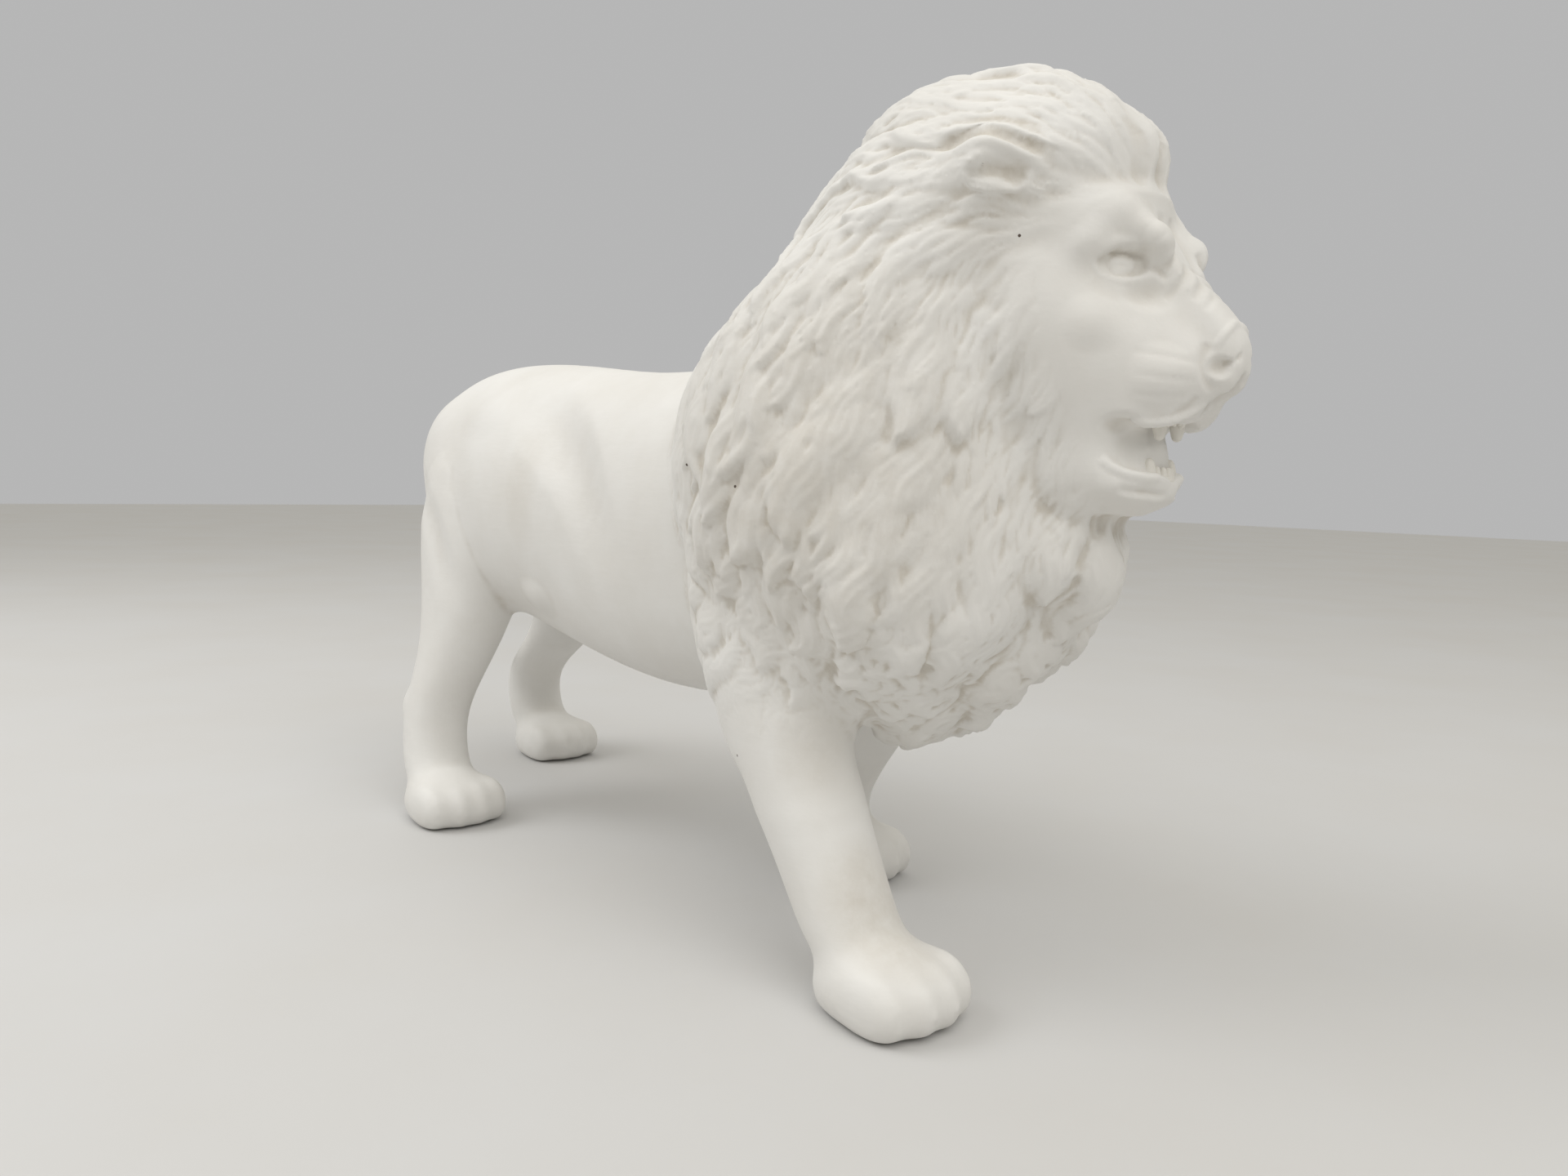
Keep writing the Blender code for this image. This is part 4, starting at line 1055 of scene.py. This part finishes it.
class Mane:
    """The part of the skin that is hair: its vertices, its surface and its grain."""

    def __init__(self, clay, is_hair):
        self.clay = clay
        self.hair = np.flatnonzero(is_hair > LEAST_HAIR)
        quads = face_corners(clay.mesh)
        hairy = quads[is_hair[quads].max(axis=1) > 0]
        used, corners = np.unique(hairy, return_inverse=True)
        self.tree = BVHTree.FromPolygons(
            clay.places[used].tolist(), corners.reshape(-1, 4).tolist(),
        )
        cells = {}
        for vertex, cell in zip(self.hair, self.cell_names(clay.places[self.hair])):
            cells.setdefault(cell, []).append(vertex)
        self.cells = {cell: np.array(found) for cell, found in cells.items()}

    @staticmethod
    def cell_names(places):
        """The cell that each place lies in."""
        return map(tuple, np.floor(places / HAIR_CELL).astype(int))

    def near(self, points, reach):
        """The hair's vertices in the cells that a line of points passes."""
        steps = math.ceil(reach / HAIR_CELL)
        wanted = set()
        for cell in self.cell_names(points):
            for x, y, z in product(range(-steps, steps + 1), repeat=3):
                wanted.add((cell[0] + x, cell[1] + y, cell[2] + z))
        found = [self.cells[cell] for cell in wanted if cell in self.cells]
        return np.concatenate(found) if found else np.empty(0, dtype=int)

    def seeds(self, spacing, chooser, tries=16000):
        """Roots spread over the hair, none nearer another than the spacing."""
        order = chooser.permutation(self.hair)[:tries]
        free = np.ones(len(order), dtype=bool)
        places = self.clay.places[order]
        chosen = []
        for index in range(len(order)):
            if not free[index]:
                continue
            chosen.append(order[index])
            free &= ((places - places[index]) ** 2).sum(axis=1) > spacing ** 2
        return chosen

    def comb_line(self, start, length, swing, wave, phase, step=1.2 * MM):
        """A line on the skin that follows the grain, swinging from side to side."""
        place = np.array(start)
        points = [place]
        for index in range(max(3, int(length / step))):
            hit, normal, _, _ = self.tree.find_nearest(Vector(place))
            normal = np.array(normal)
            way = grain(place, normal)
            turn = swing * math.sin(2 * math.pi * index * step / wave + phase)
            way = way * math.cos(turn) + np.cross(normal, way) * math.sin(turn)
            place = np.array(hit) + way * step
            points.append(place)
        return np.array(points)

    def lay(self, kind, full_relief, roots, chooser):
        """The height and the strand place that a set of locks gives to each vertex."""
        clay = self.clay
        height, across = np.zeros(len(clay.places)), np.zeros(len(clay.places))
        for root in roots:
            place = clay.places[root]
            length, half_width, relief, swing, wave = lock_shape(
                kind, full_relief, place, chooser,
            )
            phase = chooser.uniform(0, 2 * math.pi)
            tilt = chooser.uniform(-MOST_LEANING, MOST_LEANING)
            points = self.comb_line(place, length, swing, wave, phase)
            near = self.near(points, half_width)
            if not len(near):
                continue
            distance, along, side = line_reach(clay.places[near], clay.normals[near], points)
            tip = np.clip(NARROWING * (TIP_END - along), 0, 1) ** TIP_POWER
            width = half_width * np.clip(ROOT_WIDTH + WIDENING * along, 0, 1) * tip
            width = np.maximum(width, NARROWEST_LOCK)
            share = distance / width
            rising = ROOT_HEIGHT + (1 - ROOT_HEIGHT) * np.clip(along * RISING, 0, 1)
            leaning = 1 + tilt * np.clip(side / width, -1, 1)
            bump = relief * rising * leaning * np.clip(1 - share ** 2, 0, 1) ** kind.roundness
            taller = (share < 1) & (bump > height[near])
            chosen = near[taller]
            height[chosen] = bump[taller]
            strand_place = side / np.maximum(width, LEAST_STRAND_BED)
            across[chosen] = strand_place[taller] + root * STRAND_SHIFT
        return height, across


def hair_share(clay, on_mane):
    """How much of the mane's hair each vertex carries, by node and by the edge of the face."""
    behind = behind_face(clay.places)
    filling = np.clip(EDGE_HAIR + behind / EDGE_HAIR_REACH, 0, 1) ** EDGE_HAIR_POWER
    share = np.where(behind < FAR_BEHIND, filling, on_mane)
    for row in both_sides(EAR_SPOTS):
        share = share * (1 - EAR_BARENESS * clay.weight(HEAD, row, power=0.6))
    return share


def unit(vector):
    """A vector drawn out to a length of 1."""
    return vector / (np.linalg.norm(vector) + 1e-9)


def grain(place, normal):
    """The way the hair lies at a place: out from the face, then back and down."""
    outward = place - FACE_MIDDLE
    outward -= HEAD.axes[0] * (outward @ HEAD.axes[0])
    distance = np.linalg.norm(outward) / MM
    outward = unit(outward)
    near_face = math.exp(-((distance / OUTWARD_REACH) ** 2))
    height = place[2] / MM
    falling = ramp(height, FALL_TOP, FALL_WAY, LEAST_FALL, MOST_FALL)
    backing = np.clip(BACK_SHARE - falling * BACK_LOSS, LEAST_BACK, 1.0)
    backward = np.array((-1.0, 0.0, 0.0)) * backing
    lift = OUTWARD_LOW + OUTWARD_MORE * ramp(height, OUTWARD_START, OUTWARD_SPAN)
    way = outward * near_face * lift + backward - UP * falling
    return unit(way - normal * (way @ normal))


def face_closeness(place):
    """1 beside the face, falling to 0 away from it."""
    return math.exp(-((np.linalg.norm(place - FACE_MIDDLE) / MM / CLOSE_TO_FACE) ** 4))


def crown_share(place):
    """0 at the neck and below, rising to 1 on the crown."""
    return float(ramp(place[2] / MM, CROWN_START, CROWN_SPAN))


def patchiness(place):
    """How crisp the hair is at a place: thick paint fills it here and there."""
    forward, _, height = place / MM
    wave = math.sin(forward / PATCH_LENGTH + PATCH_SWAY * math.sin(height / PATCH_HEIGHT))
    return float(np.clip(CRISPNESS + CRISPNESS_CHANGE * wave, LEAST_CRISPNESS, 1))


def lock_shape(kind, full_relief, place, chooser):
    """Length, half width, relief, swing and wave of a lock whose root is at a place."""
    curl = ramp(place[2] / MM, kind.curl_top, CURL_SPAN)
    crown, closeness = crown_share(place), face_closeness(place)
    by_curl, by_crown, by_face = kind.length_changes
    length = chooser.uniform(*kind.length) * (1 + by_curl * curl + by_crown * crown)
    length *= 1 + by_face * closeness
    by_curl, by_crown, by_face = kind.width_changes
    half_width = chooser.uniform(*kind.half_width) * MM * (1 + by_curl * curl)
    half_width *= 1 + by_face * closeness
    half_width *= 1 + by_crown * crown
    by_curl, by_crown, by_face = kind.relief_changes
    relief = full_relief * chooser.uniform(*kind.relief) * (1 + by_face * closeness)
    relief *= (1 + by_crown * crown) * (1 + by_curl * curl)
    if kind.patchy:
        relief *= patchiness(place)
    swing = kind.swing[0] + kind.swing[1] * curl
    wave = (kind.wave[0] + kind.wave[1] * curl) * MM
    return length * MM, half_width, relief, swing, wave


def rear_fading(clay, is_hair, width=15 * MM):
    """How much of the clumps' height each vertex keeps: little where the mane meets the body."""
    in_rear = clay.places[:, 0] < BARE_BODY_END
    tree = search_tree(clay.places[np.flatnonzero((is_hair < BARE) & in_rear)[::3]])
    kept = np.ones(len(is_hair))
    for number in np.flatnonzero((is_hair >= BARE) & in_rear).tolist():
        kept[number] = tree.find(clay.places[number])[2] / width
    return LEAST_REAR_HEIGHT + (1 - LEAST_REAR_HEIGHT) * np.clip(kept, 0, 1) ** REAR_POWER


class LION_OT_comb_mane(bpy.types.Operator):
    """Comb the mane: large clumps, locks over them and strands in the locks."""

    bl_idname = "lion.comb_mane"
    bl_label = "Comb the mane"

    def execute(self, context):
        sizes = context.scene.lion_mane
        chooser = np.random.default_rng(sizes.seed)
        clay = Clay(skin_object().data)
        on_mane = vertex_values(clay, dict.fromkeys(MANE_NODES, 1.0), BORDER_EASING)
        on_legs = vertex_values(clay, dict.fromkeys(FRONT_LEGS, 1.0), BORDER_EASING)
        on_legs = on_legs * LEG_HAIR_SHARE * ramp(clay.places[:, 2], LEG_HAIR_END, LEG_HAIR_SPAN)
        is_hair = hair_share(clay, np.maximum(on_mane, on_legs))
        mostly = is_hair > MOSTLY_HAIR

        mane = Mane(clay, is_hair)
        roots = mane.seeds(sizes.clump_spacing, chooser)
        clumps, _ = mane.lay(CLUMP, sizes.clump_relief, roots, chooser)
        raised = (clumps - clumps[mostly].mean()) * is_hair * rear_fading(clay, is_hair)
        clay.places += clay.normals * raised[:, None]
        clay.relax(rounds=5, mask=is_hair[:, None])
        clay.store()

        mane = Mane(clay, is_hair)
        roots = mane.seeds(sizes.lock_spacing, chooser)
        locks, across = mane.lay(LOCK, sizes.lock_relief, roots, chooser)
        roots = [
            root for root in mane.seeds(sizes.fringe_spacing, chooser, FRINGE_TRIES)
            if face_closeness(clay.places[root]) > FRINGE_CLOSENESS
            or crown_share(clay.places[root]) > FRINGE_CROWN
        ]
        fringe, _ = mane.lay(FRINGE, sizes.fringe_relief, roots, chooser)
        strands = np.cos(across * 2 * math.pi * STRANDS_PER_SIDE) * sizes.strand_relief
        strands = strands * (locks > 0) + fringe
        raised = (locks + strands - locks[mostly].mean()) * is_hair
        clay.places += clay.normals * raised[:, None]
        clay.relax(rounds=2, mask=is_hair[:, None])

        # The crown's hair is squashed under the top of the box, so that it isn't cut flat
        over = np.maximum(clay.places[:, 2] - (CAD_BOX[1][2] - CROWN_KNEE), 0)
        clay.places[:, 2] += CROWN_KNEE * np.tanh(over / CROWN_KNEE) - over
        clay.keep_inside()
        return {"FINISHED"}


def hollows(clay, rounds=20, easing=0.6, depth=0.24 * MM):
    """How deep each vertex lies under its surroundings, and how much dust and painted shade it
    gets, from 0 to 1.
    """
    around = clay.places.copy()
    for _ in range(rounds):
        around = (1 - easing) * around + easing * clay.neighbour_mean(around)
    sunk = ((around - clay.places) * clay.normals).sum(axis=1)
    on_face = clay.weight(HEAD, FACE_SPOT, power=0.5)
    # Sunk vertices get dust and painted shade, less of it on the face
    dust_and_shade = np.clip(sunk / (depth * (1 + FACE_HOLLOW_EASING * on_face)), 0, 1)
    # Patches where dust and painted shade are laid on, however deep the skin lies
    for row in DUST_AND_SHADE_SPOTS:
        dust_and_shade = np.maximum(dust_and_shade, row[6] * clay.weight(BODY, row, power=1.0))
    return dust_and_shade


def border_loops(quads):
    """The open borders of a patch of faces, each as its edges in the faces' own order."""
    starts, ends, keys = edge_keys(quads, int(quads.max()) + 1)
    _, back, counts = np.unique(keys, return_inverse=True, return_counts=True)
    single = counts[back] == 1
    onward = {}
    for start, end in zip(starts[single].tolist(), ends[single].tolist()):
        onward.setdefault(start, []).append(end)
    loops = []
    while onward:
        here = next(iter(onward))
        loop = []
        while here in onward:
            there = onward[here].pop()
            if not onward[here]:
                del onward[here]
            loop.append((here, there))
            here = there
        loops.append(loop)
    return loops


def patch_mesh(name, clay, quads, dust_and_shade):
    """A closed mesh of one patch of the skin, each border turned in and closed with a fan."""
    used, corners = np.unique(quads, return_inverse=True)
    corners = corners.reshape(-1, 4)
    places, normals, fans = [clay.places[used]], [clay.normals[used]], []
    size = len(used)
    for loop in border_loops(corners):
        ring = used[[start for start, _ in loop]]
        turned = clay.places[ring] - clay.normals[ring] * FAN_DEPTH
        middle = turned.mean(axis=0)
        places.extend((turned, turned + (middle - turned) * FAN_SHRINKING, middle[None]))
        normals.extend((clay.normals[ring], clay.normals[ring], UP[None]))
        count = len(ring)
        for index, (start, end) in enumerate(loop):
            here, there = size + index, size + (index + 1) % count
            outer = (start, end, there, here)
            inner = (here, there, count + there, count + here)
            for first, second, third, fourth in (outer, inner):
                fans.extend(((second, first, fourth), (second, fourth, third)))
            fans.append((count + there, count + here, size + 2 * count))
        size += 2 * count + 1
    mesh = mesh_of(name, np.concatenate(places), corners, fans)
    mesh.normals_split_custom_set_from_vertices(np.concatenate(normals).tolist())
    padded = np.zeros(len(mesh.vertices), dtype=np.float32)
    padded[:len(used)] = dust_and_shade[used]
    # Each vertex keeps its share of dust and painted shade for the paint
    keep_values(mesh, "hollow", padded)
    return mesh


class LION_OT_divide(bpy.types.Operator):
    """Divide the skin into one closed piece for each solid and paint them."""

    bl_idname = "lion.divide"
    bl_label = "Divide and paint the skin"

    def execute(self, context):
        thing = skin_object()
        paint = white_paint(context.scene.lion_paint)
        clay = Clay(thing.data)
        owners, quads = face_owners(thing.data), face_corners(thing.data)
        dust_and_shade = hollows(clay)
        for number, name in enumerate(SKIN_NODES):
            own = quads[owners == number]
            if not len(own):
                raise RuntimeError(f"No part of the skin stands for {name}")
            mesh = patch_mesh(f"{name}_skin", clay, own, dust_and_shade)
            piece = add_object(mesh.name, mesh)
            mesh.materials.append(paint)
            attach(piece, "root")
            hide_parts(name)
        bpy.data.objects.remove(thing, do_unlink=True)
        return {"FINISHED"}


def node_group(name, kind, inputs, outputs):
    """An empty node group, with its inputs and outputs listed by their kind."""
    tree = bpy.data.node_groups.new(name, kind)
    for way, sockets in (("INPUT", inputs), ("OUTPUT", outputs)):
        for socket_kind, names in sockets.items():
            for label in names:
                tree.interface.new_socket(
                    label, in_out=way, socket_type=f"NodeSocket{socket_kind}",
                )
    return tree


class NodeBench:
    """Lays out the nodes of a tree and links them."""

    def __init__(self, tree):
        self.tree = tree

    def add(self, kind, settings=None, **inputs):
        """A node of a kind, with its settings and with values or sockets for its inputs."""
        node = self.tree.nodes.new(kind)
        for name, value in (settings or {}).items():
            setattr(node, name, value)
        for name, value in inputs.items():
            self.feed(node.inputs[name.replace("_", " ")], value)
        return node

    def feed(self, socket, value):
        """Link an input to a socket or to a node's first output, or set its value."""
        if isinstance(value, bpy.types.Node):
            value = value.outputs[0]
        if isinstance(value, bpy.types.NodeSocket):
            self.tree.links.new(value, socket)
        else:
            socket.default_value = value

    def combine(self, kind, settings, values):
        """A node whose inputs are given by their numbers, or by names that no keyword may have."""
        node = self.add(kind, settings)
        for key, value in values.items():
            self.feed(node.inputs[key], value)
        return node

    def math(self, operation, first, second, clamp=False):
        """The result of a calculation with two values."""
        settings = {"operation": operation, "use_clamp": clamp}
        return self.combine("ShaderNodeMath", settings, {0: first, 1: second})

    def mix(self, factor, first, second):
        """A blend of two colours, whose sockets come after those for other values."""
        values = {0: factor, 6: first, 7: second}
        return self.combine("ShaderNodeMix", {"data_type": "RGBA"}, values).outputs[2]

    def noise(self, place, scale, detail, roughness=0.5):
        """A cloudy pattern from 0 to 1."""
        return self.add(
            "ShaderNodeTexNoise", Vector=place, Scale=scale, Detail=detail, Roughness=roughness,
        )

    def spread(self, value, had, wanted):
        """A value's range, spread over another range and held in it."""
        return self.add(
            "ShaderNodeMapRange", Value=value, From_Min=had[0], From_Max=had[1],
            To_Min=wanted[0], To_Max=wanted[1],
        )


def paint_group():
    """Hand-brushed matte paint: dust and painted shade in the hollows, specks and brush strokes."""
    found = bpy.data.node_groups.get("brushed paint")
    if found is not None:
        return found
    tree = node_group(
        "brushed paint", "ShaderNodeTree",
        {
            # The Grime colour, mixed in by the Grime amount, is dust and painted shade in the
            # hollows
            "Color": ("Paint", "Grime", "Speck"),
            "Float": ("Grime amount", "Speck size", "Stroke depth"),
        },
        {"Color": ("Colour",), "Float": ("Roughness",), "Vector": ("Normal",)},
    )
    bench = NodeBench(tree)
    given = bench.add("NodeGroupInput").outputs
    place = bench.add("ShaderNodeTexCoord").outputs["Object"]

    # Mottling: the coat is thinner and greyer in places
    clouds = bench.noise(place, scale=38.0, detail=5.0, roughness=0.6)
    thin = bench.spread(clouds, had=(0.35, 0.75), wanted=THINNING)
    mottled = bench.mix(thin, given["Paint"], given["Grime"])

    # Dust and painted shade in the hollows, uneven over the skin
    hollow = bench.add("ShaderNodeAttribute", {"attribute_name": "hollow"}).outputs["Fac"]
    dust_and_shade = bench.noise(place, scale=210.0, detail=6.0, roughness=0.65)
    uneven = bench.spread(dust_and_shade, had=(0.3, 0.7), wanted=DUST_AND_SHADE_STRENGTH)
    dust_and_shade_share = bench.math("MULTIPLY", hollow, uneven, True)
    amount = bench.math("MULTIPLY", dust_and_shade_share, given["Grime amount"], True)
    dusty_and_shaded = bench.mix(amount, mottled, given["Grime"])

    # A few dark specks
    cells = bench.add("ShaderNodeTexVoronoi", Vector=place, Scale=105.0).outputs
    spot = bench.math("LESS_THAN", cells["Distance"], given["Speck size"])
    chance = bench.add("ShaderNodeSeparateColor", Color=cells["Color"])
    speck = bench.math("MULTIPLY", spot, bench.math("GREATER_THAN", chance, SPECKLESS))
    specked = bench.mix(speck, dusty_and_shaded, given["Speck"])

    # Brush strokes, drawn out along the body
    stretch = bench.add("ShaderNodeMapping", Vector=place, Scale=(160.0, 700.0, 700.0))
    strokes = bench.noise(stretch, scale=1.0, detail=3.0)
    brushed = bench.add(
        "ShaderNodeBump", Height=strokes, Distance=given["Stroke depth"], Strength=1.0,
    )
    matte = bench.spread(dust_and_shade, had=(0.25, 0.75), wanted=PAINT_ROUGHNESS)
    bench.add("NodeGroupOutput", Colour=specked, Roughness=matte, Normal=brushed)
    return tree


def paint_material(name, paint, colours, **amounts):
    """A material of the brushed paint, with its own colour and amounts."""
    material = bpy.data.materials.new(name)
    material.use_nodes = True
    bench = NodeBench(material.node_tree)
    coat = bench.add(
        "ShaderNodeGroup", {"node_tree": paint_group()}, Paint=paint, Grime=colours.grime_and_shade,
        Speck=colours.speck, **amounts,
    ).outputs
    shader = material.node_tree.nodes["Principled BSDF"].inputs
    shader["Specular IOR Level"].default_value = PAINT_SPECULAR
    bench.feed(shader["Base Color"], coat["Colour"])
    bench.feed(shader["Roughness"], coat["Roughness"])
    bench.feed(shader["Normal"], coat["Normal"])
    return material


def white_paint(colours):
    """The paint of the figure."""
    return paint_material(
        "white_paint", colours.paint, colours,
        # Grime amount: how much of the grime colour goes into the hollows, as dust and painted
        # shade
        Grime_amount=0.8, Speck_size=0.032, Stroke_depth=0.05 * MM,
    )


def tooth_paint(colours):
    """The paint of the teeth, a little yellower and without specks."""
    return paint_material(
        "tooth_paint", colours.tooth, colours,
        Grime_amount=0.4, Speck_size=0.0, Stroke_depth=0.03 * MM,
    )


def teeth_group():
    """A row of pegs along a bent line, larger at both ends, standing on a ridge of gum."""
    tree = node_group(
        "teeth row", "GeometryNodeTree",
        {
            "Vector": ("Start", "Bend", "End"), "Int": ("Teeth",),
            "Float": ("Length", "Radius", "Canines", "Way"), "Material": ("Paint",),
        },
        {"Geometry": ("Geometry",)},
    )
    bench = NodeBench(tree)
    given = bench.add("NodeGroupInput").outputs
    line = bench.add(
        "GeometryNodeCurveQuadraticBezier", Resolution=24, Start=given["Start"],
        Middle=given["Bend"], End=given["End"],
    )
    spots = bench.add("GeometryNodeResampleCurve", Curve=line, Count=given["Teeth"])

    # One peg, blunt at its tip
    cone = bench.add(
        "GeometryNodeMeshCone", Vertices=12, Side_Segments=2, Fill_Segments=1,
        Radius_Top=bench.math("MULTIPLY", given["Radius"], PEG_TAPER),
        Radius_Bottom=given["Radius"], Depth=given["Length"],
    )
    peg = bench.add("GeometryNodeSubdivisionSurface", Mesh=cone, Level=3)

    # The first and the last peg of the row are the canines
    number = bench.add("GeometryNodeInputIndex")
    same = {"data_type": "INT", "operation": "EQUAL"}
    ends = [
        bench.combine("FunctionNodeCompare", same, {2: number, 3: end})
        for end in (0, bench.math("SUBTRACT", given["Teeth"], 1.0))
    ]
    at_end = bench.combine("FunctionNodeBooleanMath", {"operation": "OR"}, dict(enumerate(ends)))
    size = bench.combine(
        "GeometryNodeSwitch", {"input_type": "FLOAT"},
        {"Switch": at_end, "False": 1.0, "True": given["Canines"]},
    )
    upright = bench.math("MULTIPLY", size, given["Way"])
    scale = bench.add("ShaderNodeCombineXYZ", X=size, Y=size, Z=upright)
    row = bench.add("GeometryNodeInstanceOnPoints", Points=spots, Instance=peg, Scale=scale)

    profile = bench.add("GeometryNodeCurvePrimitiveCircle", Resolution=14, Radius=given["Radius"])
    ridge = bench.add(
        "GeometryNodeCurveToMesh", Curve=line, Profile_Curve=profile, Fill_Caps=True,
    )
    both = bench.add("GeometryNodeJoinGeometry")
    for made in (row, ridge):
        bench.feed(both.inputs["Geometry"], made)
    whole = bench.add("GeometryNodeRealizeInstances", Geometry=both)
    smooth = bench.add("GeometryNodeSetShadeSmooth", Geometry=whole)
    painted = bench.add("GeometryNodeSetMaterial", Geometry=smooth, Material=given["Paint"])
    bench.add("NodeGroupOutput", Geometry=painted)
    return tree


class LION_OT_teeth(bpy.types.Operator):
    """Set the two rows of teeth in the mouth."""

    bl_idname = "lion.teeth"
    bl_label = "Set the teeth"

    def execute(self, context):
        paint = tooth_paint(context.scene.lion_paint)
        group = teeth_group()
        sockets = {item.name: item.identifier for item in group.interface.items_tree
                   if item.in_out == "INPUT"}
        for node_name, row in TEETH_ROWS.items():
            start, bend, end, teeth, length, radius, canines, way = row
            name = f"{node_name}_row"
            piece = add_object(name, bpy.data.meshes.new(name))
            modifier = piece.modifiers.new("teeth", "NODES")
            modifier.node_group = group
            values = {
                "Start": tuple(HEAD.point(*start)), "Bend": tuple(HEAD.point(*bend)),
                "End": tuple(HEAD.point(*end)), "Teeth": teeth, "Length": length * MM,
                "Radius": radius * MM, "Canines": canines, "Way": way, "Paint": paint,
            }
            for label, value in values.items():
                modifier[sockets[label]] = value
            mesh = evaluated_mesh(piece)
            piece.modifiers.clear()
            if not len(mesh.polygons):
                raise RuntimeError(f"{node_name} came out empty")
            face_outward(mesh)
            piece.data = mesh
            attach(piece, "root")
            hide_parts(node_name)
        return {"FINISHED"}


def face_outward(mesh):
    """Turn the faces of a mesh outward."""
    with reshaped(mesh) as shape:
        bmesh.ops.remove_doubles(shape, verts=shape.verts, dist=0.001 * MM)
        bmesh.ops.recalc_face_normals(shape, faces=shape.faces)


def light_room(tree, strength):
    """Even light from above that falls off towards the ground, seen as a plain backdrop."""
    tree.nodes.clear()
    bench = NodeBench(tree)
    way = bench.add("ShaderNodeTexCoord").outputs["Generated"]
    height = bench.add("ShaderNodeSeparateXYZ", Vector=way).outputs["Z"]
    share = bench.add("ShaderNodeMapRange", Value=height, From_Min=-1.0)
    shades = bench.add("ShaderNodeValToRGB", Fac=share)
    points = shades.color_ramp.elements
    for index, (level, shade) in enumerate(ROOM_SHADES):
        point = points[index] if index < 2 else points.new(level)
        point.position = level
        point.color = (*(shade * tint for tint in ROOM_TINT), 1.0)
    room = bench.add("ShaderNodeBackground", Color=shades, Strength=strength)
    backdrop = bench.add("ShaderNodeBackground", Color=BACKDROP)
    seen = bench.add("ShaderNodeLightPath").outputs["Is Camera Ray"]
    mix = bench.combine("ShaderNodeMixShader", None, {0: seen, 1: room, 2: backdrop})
    bench.add("ShaderNodeOutputWorld", Surface=mix)


def add_lamp(name, power, place, size, colour):
    """A square soft lamp that shines on the figure."""
    lamp = bpy.data.lights.new(name, "AREA")
    lamp.shape = "SQUARE"
    lamp.size = size
    lamp.energy = power
    lamp.color = colour
    thing = add_object(name, lamp)
    thing.location = place
    aim = Vector(LAMP_TARGET) - thing.location
    thing.rotation_euler = aim.to_track_quat("-Z", "Y").to_euler()


def add_floor(colours):
    """The plain pale floor, a little cloudy."""
    mesh = bpy.data.meshes.new("floor")
    with reshaped(mesh) as shape:
        bmesh.ops.create_grid(shape, x_segments=1, y_segments=1, size=FLOOR_SIZE)
    material = bpy.data.materials.new("floor")
    material.use_nodes = True
    shader = material.node_tree.nodes["Principled BSDF"].inputs
    bench = NodeBench(material.node_tree)
    place = bench.add("ShaderNodeTexCoord").outputs["Object"]
    clouds = bench.noise(place, scale=9.0, detail=4.0, roughness=0.55)
    cloud = bench.spread(clouds, had=(0.3, 0.7), wanted=FLOOR_CLOUDS)
    bench.feed(shader["Base Color"], bench.mix(cloud, colours.floor, colours.grime_and_shade))
    shader["Roughness"].default_value = FLOOR_ROUGHNESS
    mesh.materials.append(material)
    return add_object("floor", mesh)


class LION_OT_stage(bpy.types.Operator):
    """Set the floor, the lamps and the camera."""

    bl_idname = "lion.stage"
    bl_label = "Set the stage"

    def execute(self, context):
        scene = context.scene
        sizes = scene.lion_stage
        scene.view_settings.view_transform = "Standard"
        floor = add_floor(scene.lion_paint)
        floor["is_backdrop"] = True

        scene.world = scene.world or bpy.data.worlds.new("room")
        scene.world.use_nodes = True
        light_room(scene.world.node_tree, sizes.world_strength)
        for name, lamp in LAMPS.items():
            add_lamp(name, getattr(sizes, f"{name}_power"), *lamp)

        lens = bpy.data.cameras.new("camera")
        lens.sensor_width = 36.0
        lens.lens = sizes.lens
        lens.clip_start = 0.01
        camera = add_object("camera", lens)
        forward = Vector(CAMERA_WAY).normalized()
        turned = (-forward).to_track_quat("Z", "Y").to_matrix().to_4x4()
        roll = Matrix.Rotation(CAMERA_ROLL, 4, "Z")
        camera.matrix_world = Matrix.Translation(CAMERA_PLACE) @ turned @ roll
        scene.camera = camera
        return {"FINISHED"}


class LION_PT_panel(bpy.types.Panel):
    """The steps and the sizes of the lion figure."""

    bl_idname = "LION_PT_panel"
    bl_label = "Lion figure"
    bl_space_type = "VIEW_3D"
    bl_region_type = "UI"
    bl_category = "Lion"

    def draw(self, context):
        for step in STEPS:
            self.layout.operator(step.bl_idname)
        for name, group in GROUPS.items():
            box = self.layout.box()
            for label in group.__annotations__:
                box.prop(getattr(context.scene, name), label)


STEPS = (
    LION_OT_stage, LION_OT_skin, LION_OT_model_body, LION_OT_refine,
    LION_OT_model_head, LION_OT_comb_mane, LION_OT_divide, LION_OT_teeth,
)
GROUPS = {
    "lion_figure": FigureSizes,
    "lion_mane": ManeSizes,
    "lion_paint": PaintColours,
    "lion_stage": StageSizes,
}


def register():
    """Add the classes and the settings to Blender."""
    for name, group in GROUPS.items():
        bpy.utils.register_class(group)
        setattr(bpy.types.Scene, name, PointerProperty(type=group))
    for kind in (*STEPS, LION_PT_panel):
        bpy.utils.register_class(kind)


def unregister():
    """Take the classes and the settings out of Blender."""
    for kind in reversed((*STEPS, LION_PT_panel)):
        bpy.utils.unregister_class(kind)
    for name, group in GROUPS.items():
        delattr(bpy.types.Scene, name)
        bpy.utils.unregister_class(group)


def main():
    """Make every piece in order."""
    register()
    bpy.ops.lion.stage()
    bpy.ops.lion.skin()
    bpy.ops.lion.model_body()
    bpy.ops.lion.refine()
    bpy.ops.lion.model_head()
    bpy.ops.lion.comb_mane()
    bpy.ops.lion.divide()
    bpy.ops.lion.teeth()
    boxes = [[list(corner) for corner in box] for box in (CAD_BOX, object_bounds())]


if __name__ == "__main__":
    main()
